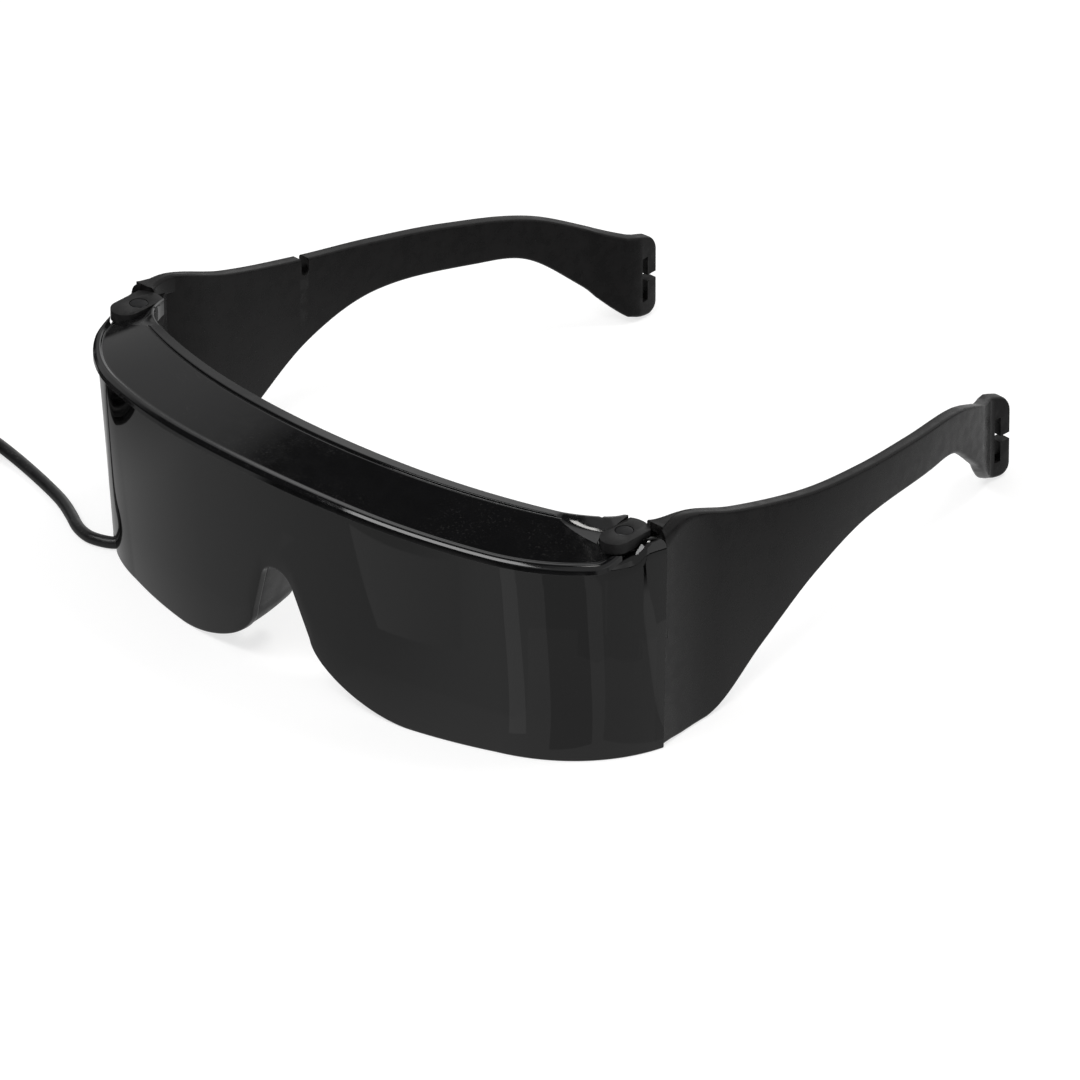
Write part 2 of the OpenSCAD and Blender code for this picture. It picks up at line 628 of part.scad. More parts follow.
// Thick upper front end, from the knuckle's height up
cap_h = 4.3;
cap_l = 17;
cap_in = 0.8;
cap_steps = 8;
function cap_ring(i) =
    let(f = (i + 0.05)/cap_steps*cap_l/temple_l, x = temple_out(f) - 0.85*temple_t, y = temple_y(f),
        xi = pin_x + cap_in + (x - temple_t/15 - pin_x - cap_in)*pow(sin(90*i/cap_steps), 0.8),
        z1 = smooth(top_line, f), z0 = z1 - cap_h)
    [[x, y, z0], [x, y, z1 - 0.05], [min(xi + bevel, x - 0.05), y, z1 - 0.05],
        [xi, y, z1 - bevel], [xi, y, z0]];

knuckle_z0 = ear_low_z + ear_t + washer_t + fit_gap;
knuckle_z1 = ear_z - ear_t - washer_t - fit_gap;
module knuckle_web() {
    translate([pin_x, pin_y, knuckle_z0]) linear_extrude(knuckle_z1 - knuckle_z0)
        polygon([[-2.6, 2.6], [0.4, 6.4], [3.6, 13], [4.9, 13], [7, 6.2], [4.3, 6.2], [3.2, 2.4], [0, 0]]);
}

slot_f = 1 - slot_back/temple_l;
module strap_slot() {
    translate([temple_out(slot_f) - temple_t/2, temple_y(slot_f), slot_z]) rotate([0, 0, temple_a(slot_f)]) {
        cube([4*temple_t, slot_w, slot_h], center = true);
        translate([-2*temple_t, 0, -slot_mouth/2]) cube([4*temple_t, 3*slot_back, slot_mouth]);
    }
}

module temple(side) {
    color([0.14, 0.14, 0.145]) place() both_sides(side) difference() {
        union() {
            loft([for (f = temple_f) temple_ring(f)]);
            loft([for (i = [0 : cap_steps]) cap_ring(i)]);
            translate([pin_x, pin_y, knuckle_z0]) cylinder(d = knuckle_d, h = knuckle_z1 - knuckle_z0);
            knuckle_web();
        }
        translate([pin_x, pin_y, knuckle_z0 - 1])
            cylinder(r = pin_d/2 + pin_gap, h = knuckle_z1 - knuckle_z0 + 2);
        translate([pin_x, pin_y, knuckle_z1]) cylinder(r = seam_r, h = temple_z);
        strap_slot();
        if (side < 0) top_slot();
    }
}

module top_slot() {
    f = top_slot_y/temple_l;
    z = smooth(top_line, f);
    translate([temple_x - 2*temple_t, seam_y + top_slot_y, z - top_slot_h + top_slot_w/2]) {
        rotate([0, 90, 0]) cylinder(d = top_slot_w, h = 3*temple_t);
        translate([0, -top_slot_w/2, 0]) cube([3*temple_t, top_slot_w, 2*top_slot_h]);
    }
}

// Cell stack of each eye, from the front: film, cell, film, gasket, lap of the carrier, window
front_film_y = 0.5;
cell_y = front_film_y + film_t + film_gap;
rear_film_y = cell_y + cell_t + film_gap;
gasket_y = rear_film_y + film_t + film_gap;

module front_film(side) {
    color([0.2, 0.2, 0.22]) place() at_eye(side) slab(cell_w - 1, cell_h - 1, film_t, front_film_y);
}
module shutter_cell(side) {
    color([0.25, 0.3, 0.3]) place() at_eye(side) slab(cell_w, cell_h, cell_t, cell_y);
}
module rear_film(side) {
    color([0.2, 0.2, 0.22]) place() at_eye(side) slab(cell_w - 1, cell_h - 1, film_t, rear_film_y);
}
module cell_gasket(side) {
    color([0.08, 0.08, 0.08]) place() at_eye(side) difference() {
        slab(cell_w, cell_h, gasket_t, gasket_y);
        slab(cell_w - 2*bezel_lap, cell_h - 2*bezel_lap, gasket_t + 2, gasket_y - 1);
    }
}
module rear_window(side) {
    color([0.6, 0.65, 0.65]) place() at_eye(side)
        slab(cell_w - bezel_lap, cell_h - bezel_lap, window_t - fit_gap, bezel_t - window_t + fit_gap/2);
}

// Flex tail: a strip from the cell's upper edge, through the plate, to the board's underside
flex_w = 7;
flex_t = 0.25;
flex_x = cell_w/2 - 4;
flex_y = cell_y + cell_t/2;
board_y = 5.8;
board_z = skirt_z + 0.6;
module flex_tail(side) {
    color([0.75, 0.5, 0.2]) place() at_eye(side)
        translate([-side*flex_x - flex_w/2, flex_y, cell_h/2])
            cube([flex_w, flex_t, board_z - eye_z - cell_h/2]);
}

// Board and what is soldered on it
chip_t = 1.2;
chip_x = 5;
cap_h1 = 2.4;
cap_x = [-9, -4.5, 15];
socket_l = 4;
socket_w = 5;
socket_h = 2.2;
socket_x = -board_l/2 + 1;
socket_y = board_y + 0.6;
board_top = board_z + board_t;
module driver_board() {
    color([0.1, 0.3, 0.15]) place()
        translate([-board_l/2, board_y, board_z]) cube([board_l, board_w, board_t]);
    color([0.1, 0.3, 0.15]) place() for (side = [-1, 1])
        translate([side*(board_l/2 - 2), board_y + board_w/2, skirt_z - fit_gap])
            cylinder(d = 2, h = board_z - skirt_z + fit_gap + eps);
}
module driver_chip() {
    color([0.08, 0.08, 0.08]) place()
        translate([chip_x - chip_w/2, board_y + board_w/2 - chip_w/2, board_top])
            cube([chip_w, chip_w, chip_t]);
}
module board_capacitors() {
    color([0.5, 0.4, 0.15]) place() for (x = cap_x)
        translate([x, board_y + board_w/2, board_top]) cylinder(d = cap_d, h = cap_h1);
}
module lead_socket() {
    color([0.8, 0.8, 0.76]) place()
        translate([socket_x, socket_y, board_top]) cube([socket_l, socket_w, socket_h]);
}

screw_head_h = 1;
module cover_screws() {
    color([0.6, 0.6, 0.62]) place() for (u = screw_u)
        translate([box_pt(u)[0], box_pt(u)[1], plate_z - screw_head_h]) difference() {
            union() {
                cylinder(d = screw_head_d, h = screw_head_h);
                cylinder(d = screw_d - 2*fit_gap, h = screw_head_h + screw_l - fit_gap);
            }
            translate([-screw_head_d/4, -0.2, -eps]) cube([screw_head_d/2, 0.4, screw_head_h/2]);
            translate([-0.2, -screw_head_d/4, -eps]) cube([0.4, screw_head_d/2, screw_head_h/2]);
        }
}

// Tubes: rings of points square to a smooth route
function route_pt(p, i, t) =
    let(a = p[max(i - 1, 0)], b = p[i], c = p[i + 1], d = p[min(i + 2, len(p) - 1)])
    b + t*(c - a)/2 + t*t*(a - 2.5*b + 2*c - d/2) + t*t*t*((d - a)/2 + 1.5*(b - c));
function route(p, n) = [for (i = [0 : len(p) - 2], k = [0 : n - 1]) route_pt(p, i, k/n), p[len(p) - 1]];
function tube_ring(c, dir, r, sides) =
    let(t = unit(dir), u = unit(cross(t, [0, 0, 1])), v = cross(u, t))
    [for (k = [0 : sides - 1]) let(a = 360*(k + 0.5)/sides) c + r*(cos(a)*u + sin(a)*v)];
// Rings along the points q; the first and the last are square to their own directions
function tube_rings(q, r, sides, first, last) = [for (i = [0 : len(q) - 1])
    tube_ring(q[i], i == 0 ? first : i == len(q) - 1 ? last : q[i + 1] - q[i - 1], r, sides)];

// Inner lead, from the board's socket to the strain relief
lead_d = 2;
lead_from = [socket_x - 0.1, socket_y + socket_w/2, board_top + socket_h/2 + 0.1];
lead_pts = [lead_from, lead_from + [-6.9, -1.3, -0.2], [-36, 8.8, 49.4], [-43, 13.5, 49.2], [-49, 18.6, 49],
    [-52.4, 21.4, 48], [-53.5, 22.8, 45.4], [-53.5, 23.4, 41], [-53.2, 25, 34], [-51.2, 25.2, 26],
    [-50.2, 25.6, 20], [-52, 25.6, 16]];
lead_groove_z = 33;
lead_sides = 8;
lead_steps = 3;
module inner_lead() {
    color([0.2, 0.2, 0.2]) place()
        loft(tube_rings(route(lead_pts, lead_steps), lead_d/2, lead_sides, [-1, 0, 0], relief_dir));
}

// Lead outside: through the strain relief, under the visor's foot, and along the table
cord_pts = [[-52, 25.6, 16], [-58, 25.2, 8.6], [-60.8, 24.8, 5.2], [-63.2, 23.8, 2.6], [-66.2, 22, 1.5],
    [-69.2, 20.6, 1.4], [-72.8, 20.1, 1.4], [-77, 21.3, 1.4], [-81.2, 23.7, 1.4], [-85.4, 26, 1.4],
    [-90, 28, 1.4], [-98, 30.6, 1.5], [-108, 33.2, 1.8], [-118, 35, 2.2], [-126, 35.4, 2.2]];
cord_sides = 8;
cord_steps = 3;
relief_d = 4;
relief_l = 5;
relief_cone_l = 5;
clip_t = 1.4;
cord_gap = 0.05;
relief_dir = unit(cord_pts[1] - cord_pts[0]);
module along(p, dir) {
    translate(p) rotate([0, acos(dir[2]), atan2(dir[1], dir[0])]) children();
}
module at_relief() {
    along(cord_pts[0], relief_dir) children();
}
module strain_relief() {
    color([0.07, 0.07, 0.07]) place() at_relief() difference() {
        union() {
            cylinder(d = relief_d, h = relief_l + fit_gap);
            translate([0, 0, relief_l + fit_gap]) cylinder(d = relief_d + 1, h = 1);
            translate([0, 0, relief_l + fit_gap + 1])
                cylinder(d1 = relief_d, d2 = cord_d + 0.6, h = relief_cone_l);
        }
        translate([0, 0, -1]) cylinder(r = cord_d/2 + cord_gap, h = relief_l + relief_cone_l + 4);
    }
}

// Coil: layers of loops that spiral in and out, and climb where the spiral turns back
coil_x = -134;
coil_y = 12;
coil_pitch = cord_d + coil_gap;
coil_turns = coil_loops*coil_layers;
coil_out = coil_d/2 + coil_loops*coil_pitch/2;
coil_z = cord_d/2 + tie_t + 0.2;
coil_steps = 24;
coil_sides = 6;
cord_end = [coil_x + cord_d, coil_y + coil_out, coil_z];
coil_top = coil_z + (coil_layers - 1)*coil_pitch;
function coil_pt(t) =
    let(k = min(floor(t/coil_loops), coil_layers - 1), f = t - k*coil_loops, a = 90 + 360*t,
        r = coil_out - coil_pitch*(k%2 == 0 ? f : coil_loops - f),
        climbs = [for (i = [1 : coil_layers - 1]) min(1, max(0, (t - i*coil_loops)*2 + 0.5))])
    [coil_x + r*cos(a), coil_y + r*sin(a), coil_z + coil_pitch*(climbs*[for (c = climbs) 1])];
coil_route = concat([cord_end], [for (i = [0 : coil_turns*coil_steps]) coil_pt(i/coil_steps)],
    [[coil_x - cord_d, coil_y + coil_out, coil_top]]);
// Least distance between turns, less the lead's diameter, on every second point
function coil_least() = let(q = coil_route, n = len(q) - 1)
    min([for (i = [0 : 2 : n], j = [i + coil_steps/2 : 2 : n]) norm(q[i] - q[j])]) - cord_d;
function path_len(q) = [for (i = [1 : len(q) - 1]) norm(q[i] - q[i - 1])]*[for (i = [1 : len(q) - 1]) 1];

module cord_run() {
    color([0.06, 0.06, 0.065]) place()
        loft(tube_rings(route(concat(cord_pts, [cord_end]), cord_steps), cord_d/2, cord_sides,
            relief_dir, [-1, 0, 0]));
}
module cord_coil() {
    echo(least_gap = coil_least(), coil_length = path_len(coil_route));
    color([0.06, 0.06, 0.065]) place()
        loft(tube_rings(coil_route, cord_d/2, coil_sides, [-1, 0, 0], [-1, 0, 0]));
}

tail_pts = [[-144, 35.2, 11.6], [-153, 33.4, 8], [-162, 29.6, 4.8], [-169, 25.6, 4], [-174, 22.4, 4]];
tail_route = concat([[coil_x - cord_d, coil_y + coil_out, coil_top]], tail_pts);
module cord_tail() {
    color([0.06, 0.06, 0.065]) place()
        loft(tube_rings(route(tail_route, cord_steps), cord_d/2, cord_sides, [-1, 0, 0], plug_dir));
}

// Tie: a flat band around the coil's turns
tie_room = 0.6;
module coil_tie() {
    deep = coil_loops*coil_pitch + cord_d + 2*tie_room;
    high = (coil_layers - 1)*coil_pitch + cord_d + 0.4;
    color([0.04, 0.04, 0.04]) place() translate([coil_x, coil_y - coil_d/2, 0]) difference() {
        translate([-tie_w/2, -deep/2 - tie_t, 0]) cube([tie_w, deep + 2*tie_t, high + 2*tie_t]);
        translate([-tie_w, -deep/2, tie_t]) cube([2*tie_w, deep, high]);
    }
}

// Plug on the far end, lying on the table
plug_sleeve_l = 7;
tip_from = jack_l - 2.6;
ring_w = 0.6;
ring_from = [3.6, 8.4];
plug_at = tail_pts[4];
plug_dir = unit([tail_pts[4][0] - tail_pts[3][0], tail_pts[4][1] - tail_pts[3][1], 0]);
module at_plug(z) {
    along(plug_at + z*plug_dir, plug_dir) children();
}
module plug_sleeve() {
    color([0.07, 0.07, 0.07]) place() at_plug(0)
        cylinder(d1 = cord_d + 0.8, d2 = plug_d - 2.4, h = plug_sleeve_l);
}
module plug_body() {
    color([0.07, 0.07, 0.07]) place() at_plug(plug_sleeve_l) {
        cylinder(d1 = plug_d - 1.4, d2 = plug_d, h = 2);
        translate([0, 0, 2]) cylinder(d = plug_d, h = plug_l - 3);
        translate([0, 0, plug_l - 1]) cylinder(d1 = plug_d, d2 = plug_d - 1.2, h = 1);
    }
}
module plug_contacts() {
    color([0.85, 0.75, 0.45]) place() at_plug(plug_sleeve_l + plug_l) difference() {
        rotate_extrude() polygon([[0, 0], [jack_d/2, 0], [jack_d/2, tip_from - 1.2],
            [jack_d/2 - 0.5, tip_from], [jack_d/2 - 0.1, tip_from + 0.9], [0.4, jack_l], [0, jack_l]]);
        for (z = ring_from) translate([0, 0, jack_l - z - ring_w]) difference() {
            cylinder(d = 2*jack_d, h = ring_w);
            translate([0, 0, -1]) cylinder(d = jack_d - 1, h = ring_w + 2);
        }
    }
}
module plug_rings() {
    color([0.05, 0.05, 0.05]) place() at_plug(plug_sleeve_l + plug_l) for (z = ring_from)
        translate([0, 0, jack_l - z - ring_w]) difference() {
            cylinder(d = jack_d, h = ring_w);
            translate([0, 0, -1]) cylinder(d = jack_d - 1, h = ring_w + 2);
        }
}

brow_cover();
visor();
nose_saddle();
carrier_frame();
hinge_bracket(1);  // hinge_bracket_left
hinge_bracket(-1);  // hinge_bracket_right
hinge_pin(1);  // hinge_pin_left
hinge_pin(-1);  // hinge_pin_right
hinge_washers(1);  // hinge_washers_left
hinge_washers(-1);  // hinge_washers_right
temple(1);  // temple_left
temple(-1);  // temple_right
shutter_cell(1);  // shutter_cell_left
shutter_cell(-1);  // shutter_cell_right
front_film(1);  // front_film_left
front_film(-1);  // front_film_right
rear_film(1);  // rear_film_left
rear_film(-1);  // rear_film_right
cell_gasket(1);  // cell_gasket_left
cell_gasket(-1);  // cell_gasket_right
rear_window(1);  // rear_window_left
rear_window(-1);  // rear_window_right
flex_tail(1);  // flex_tail_left
flex_tail(-1);  // flex_tail_right
driver_board();
driver_chip();
board_capacitors();
lead_socket();
cover_screws();
inner_lead();
strain_relief();
cord_run();
cord_coil();
cord_tail();
coil_tie();
plug_sleeve();
plug_body();
plug_contacts();
plug_rings();
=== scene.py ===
import math
import bpy
import bmesh
from mathutils import Matrix, Vector


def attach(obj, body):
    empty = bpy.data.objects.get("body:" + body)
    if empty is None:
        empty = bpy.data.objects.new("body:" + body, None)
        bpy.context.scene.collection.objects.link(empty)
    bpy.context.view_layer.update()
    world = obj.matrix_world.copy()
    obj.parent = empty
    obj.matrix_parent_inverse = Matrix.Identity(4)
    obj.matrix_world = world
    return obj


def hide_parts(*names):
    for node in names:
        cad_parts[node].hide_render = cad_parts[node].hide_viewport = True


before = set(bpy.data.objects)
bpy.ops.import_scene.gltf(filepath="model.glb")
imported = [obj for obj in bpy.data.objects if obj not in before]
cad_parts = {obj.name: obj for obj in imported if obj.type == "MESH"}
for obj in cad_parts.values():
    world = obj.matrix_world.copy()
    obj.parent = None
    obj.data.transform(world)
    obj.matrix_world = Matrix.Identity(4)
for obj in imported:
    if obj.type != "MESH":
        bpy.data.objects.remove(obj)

scene = bpy.context.scene
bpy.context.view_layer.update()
print("frame loaded, nodes:", len(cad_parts))

# Sizes below are in millimetres, measured back from the front lip and up from the table. +X is the
# wearer's left.
halfLength = 89.7


def place(x, y, z):
    return Vector((x / 1000, (y - halfLength) / 1000, z / 1000))


def newObject(name, data):
    made = bpy.data.objects.new(name, data)
    scene.collection.objects.link(made)
    return made


# Camera: a long lens from the front and the wearer's left, well above the table
cameraStand = {"azimuth": 43.1, "elevation": 30.15, "distance": 3.75, "lens": 575.0, "sensor": 36,
               "aim": (0, 80, 25), "shiftRight": 0.0046, "shiftUp": -0.0183, "clip": (0.1, 100)}


def makeCamera():
    turn, rise = math.radians(cameraStand["azimuth"]), math.radians(cameraStand["elevation"])
    back = Vector((math.sin(turn) * math.cos(rise), -math.cos(turn) * math.cos(rise), math.sin(rise)))
    right = Vector((math.cos(turn), math.sin(turn), 0))
    up = back.cross(right)
    data = bpy.data.cameras.new("studioCamera")
    data.sensor_width, data.lens = cameraStand["sensor"], cameraStand["lens"]
    data.clip_start, data.clip_end = cameraStand["clip"]
    camera = newObject("studioCamera", data)
    camera.matrix_world = Matrix((right, up, back)).transposed().to_4x4()
    camera.location = (place(*cameraStand["aim"]) + back * cameraStand["distance"]
                       + right * cameraStand["shiftRight"] + up * cameraStand["shiftUp"])
    scene.camera = camera


makeCamera()


# Helpers for node trees. A value is a number or a socket, and a socket's id_data is its tree.
def addNode(tree, kind, inputs=None, **settings):
    node = tree.nodes.new(kind)
    for name, value in settings.items():
        setattr(node, name, value)
    for name, value in (inputs or {}).items():
        if isinstance(value, bpy.types.NodeSocket):
            tree.links.new(value, node.inputs[name])
        else:
            node.inputs[name].default_value = value
    return node


def calc(operation, *values):
    tree = next(value.id_data for value in values if isinstance(value, bpy.types.NodeSocket))
    return addNode(tree, "ShaderNodeMath", dict(enumerate(values)), operation=operation).outputs[0]


def plus(first, second):
    return calc("ADD", first, second)


def minus(first, second):
    return calc("SUBTRACT", first, second)


def times(*values):
    made = values[0]
    for value in values[1:]:
        made = calc("MULTIPLY", made, value)
    return made


def timesPlus(first, second, third):
    return calc("MULTIPLY_ADD", first, second, third)


def larger(first, second):
    return calc("MAXIMUM", first, second)


def smaller(first, second):
    return calc("MINIMUM", first, second)


def smoothRange(value, low, high, toLow=0.0, toHigh=1.0):
    return addNode(value.id_data, "ShaderNodeMapRange",
                   {"Value": value, "From Min": low, "From Max": high, "To Min": toLow,
                    "To Max": toHigh}, interpolation_type="SMOOTHSTEP").outputs["Result"]


def noiseOn(spot, size, detail, roughness=0.5):
    return addNode(spot.id_data, "ShaderNodeTexNoise",
                   {"Vector": spot, "Scale": size, "Detail": detail, "Roughness": roughness}).outputs[0]


def objectSpot(tree):
    return addNode(tree, "ShaderNodeTexCoord").outputs["Object"]


def partsOf(vector):
    return addNode(vector.id_data, "ShaderNodeSeparateXYZ", {"Vector": vector}).outputs


def effectGroup(name, inputs, outputs):
    tree = bpy.data.node_groups.new(name, "ShaderNodeTree")
    for label, value in inputs.items():
        socket = tree.interface.new_socket(label, in_out="INPUT", socket_type="NodeSocketFloat")
        socket.default_value = value
    for label in outputs:
        tree.interface.new_socket(label, in_out="OUTPUT", socket_type="NodeSocketFloat")
    return objectSpot(tree), tree.nodes.new("NodeGroupInput").outputs, tree.nodes.new("NodeGroupOutput")


def putOut(made, **values):
    for name, value in values.items():
        made.id_data.links.new(value, made.inputs[name])
    return made.id_data


# Effects that more than one finish uses. A range says where in its noise a mask starts and is full.
effectShape = {
    "fineCloud": 6.5, "fineShare": 0.2, "cloudRange": (0.34, 0.66),
    "waveSize": 0.4, "pitShare": 0.6, "waveShare": 0.5,
    "lineTurns": (((0.3, 0.2, 0.5), (1.0, 22.0, 22.0)), ((0.9, -0.4, -0.8), (26.0, 1.2, 26.0))),
    "lineWidth": 0.014, "patchSize": 45.0, "patchRange": (0.5, 0.66),
    "cornerRange": (0.18, 0.75), "rubSize": 520.0, "rubRange": (0.42, 0.64),
    "facingRange": (0.35, 0.98), "speckSize": 1900.0, "speckRange": (0.56, 0.72),
    "driftSize": 70.0, "driftRange": (0.36, 0.66),
}


def makeMottle():
    # Uneven tone of moulded plastic: broad clouds with a finer cloud inside them
    e = effectShape
    spot, given, made = effectGroup("cloudyMottle", {"Size": 260.0, "Contrast": 0.2}, ["Tone", "Cloud"])
    broad = noiseOn(spot, given["Size"], 3.0, 0.55)
    fine = noiseOn(spot, times(given["Size"], e["fineCloud"]), 2.0, 0.6)
    both = timesPlus(fine, e["fineShare"], times(broad, 1 - e["fineShare"]))
    cloud = smoothRange(both, *e["cloudRange"])
    return putOut(made, Tone=timesPlus(minus(cloud, 0.5), given["Contrast"], 1.0), Cloud=cloud)


def makeGrain():
    # Spark-eroded mould grain, as a height
    e = effectShape
    spot, given, made = effectGroup("mouldGrain", {"Size": 3200.0}, ["Height"])
    pits = addNode(spot.id_data, "ShaderNodeTexVoronoi", {"Vector": spot, "Scale": given["Size"]},
                   feature="SMOOTH_F1").outputs["Distance"]
    waves = noiseOn(spot, times(given["Size"], e["waveSize"]), 3.0)
    return putOut(made, Height=timesPlus(pits, e["pitShare"], times(waves, e["waveShare"])))


def makeHairlines():
    # Fine handling scratches in two directions, gathered in patches
    e = effectShape
    spot, given, made = effectGroup("hairlines", {"Size": 90.0, "Amount": 0.5}, ["Mask"])
    lines = []
    for turn, stretch in e["lineTurns"]:
        turned = addNode(spot.id_data, "ShaderNodeMapping",
                         {"Vector": spot, "Rotation": turn, "Scale": stretch}).outputs[0]
        distance = calc("ABSOLUTE", minus(noiseOn(turned, given["Size"], 1.0), 0.5))
        lines.append(smoothRange(distance, 0.0, e["lineWidth"], 1.0, 0.0))
    patches = smoothRange(noiseOn(spot, e["patchSize"], 2.0), *e["patchRange"])
    return putOut(made, Mask=times(larger(*lines), patches, given["Amount"]))


def makeRubbedEdges():
    # Wear on the corners: the pieces carry how sharp each corner is in the attribute edgeTurn
    e = effectShape
    spot, given, made = effectGroup("rubbedEdges", {"Amount": 0.5}, ["Mask"])
    corner = addNode(spot.id_data, "ShaderNodeAttribute", attribute_name="edgeTurn").outputs["Fac"]
    uneven = smoothRange(noiseOn(spot, e["rubSize"], 4.0), *e["rubRange"])
    return putOut(made, Mask=times(smoothRange(corner, *e["cornerRange"]), uneven, given["Amount"]))


def makeDust():
    # Thin dust that settles on faces that look up
    e = effectShape
    spot, given, made = effectGroup("settledDust", {"Amount": 0.3}, ["Mask"])
    facing = partsOf(addNode(spot.id_data, "ShaderNodeNewGeometry").outputs["Normal"])["Z"]
    specks = times(smoothRange(noiseOn(spot, e["speckSize"], 3.0), *e["speckRange"]),
                   smoothRange(noiseOn(spot, e["driftSize"], 2.0), *e["driftRange"]))
    return putOut(made, Mask=times(smoothRange(facing, *e["facingRange"]), specks, given["Amount"]))


mottle, grain, hairlines, rubbedEdges, dust = (
    makeMottle(), makeGrain(), makeHairlines(), makeRubbedEdges(), makeDust())


def placeGroup(tree, group, **inputs):
    node = tree.nodes.new("ShaderNodeGroup")
    node.node_tree = group
    for name, value in inputs.items():
        node.inputs[name].default_value = value
    return node.outputs


def mixColours(tree, share, first, second, blend="MIX"):
    return addNode(tree, "ShaderNodeMix", {0: share, 6: first, 7: second}, data_type="RGBA",
                   blend_type=blend).outputs[2]


def newMaterial(name):
    material = bpy.data.materials.new(name)
    material.use_nodes = True
    return material, material.node_tree


# What all finishes share: the scratches, the dust's colour and what each does to the gloss
finishShape = {"lineSize": 90.0, "lines": 0.35, "lineDepth": -0.6, "lineRough": 0.22, "dustRough": 0.5,
               "dustColour": (0.3, 0.29, 0.28), "roughFrom": 0.03, "roughTo": 0.95}


def makeFinish(name, colour, roughness, spread=0.12, mottleSize=260, contrast=0.25, grainSize=3200,
               grainDepth=4.0, wear=0.3, wornColour=(0.09, 0.09, 0.09), dusty=0.15, sockets=None):
    # One moulded, cast or rolled surface; grainDepth is in thousandths of a millimetre
    f = finishShape
    material, tree = newMaterial(name)
    shader = tree.nodes["Principled BSDF"]
    tone = placeGroup(tree, mottle, Size=mottleSize, Contrast=contrast)
    height = placeGroup(tree, grain, Size=grainSize)["Height"]
    scratch = placeGroup(tree, hairlines, Size=f["lineSize"], Amount=f["lines"])["Mask"]
    worn = placeGroup(tree, rubbedEdges, Amount=wear)["Mask"]
    settled = placeGroup(tree, dust, Amount=dusty)["Mask"]
    base = mixColours(tree, 1.0, (*colour, 1), tone["Tone"], "MULTIPLY")
    base = mixColours(tree, worn, base, (*wornColour, 1))
    base = mixColours(tree, settled, base, (*f["dustColour"], 1))
    rough = timesPlus(minus(tone["Cloud"], 0.5), spread, roughness)
    rough = timesPlus(scratch, f["lineRough"], rough)
    rough = timesPlus(settled, f["dustRough"], rough)
    kept = addNode(tree, "ShaderNodeClamp", {"Value": rough, "Min": f["roughFrom"], "Max": f["roughTo"]})
    bump = addNode(tree, "ShaderNodeBump", {"Strength": 1.0, "Distance": grainDepth / 1e6,
                                            "Height": timesPlus(scratch, f["lineDepth"], height)})
    for label, value in (("Base Color", base), ("Roughness", kept.outputs[0]), ("Normal", bump.outputs[0])):
        tree.links.new(value, shader.inputs[label])
    for label, value in (sockets or {}).items():
        shader.inputs[label].default_value = value
    return material


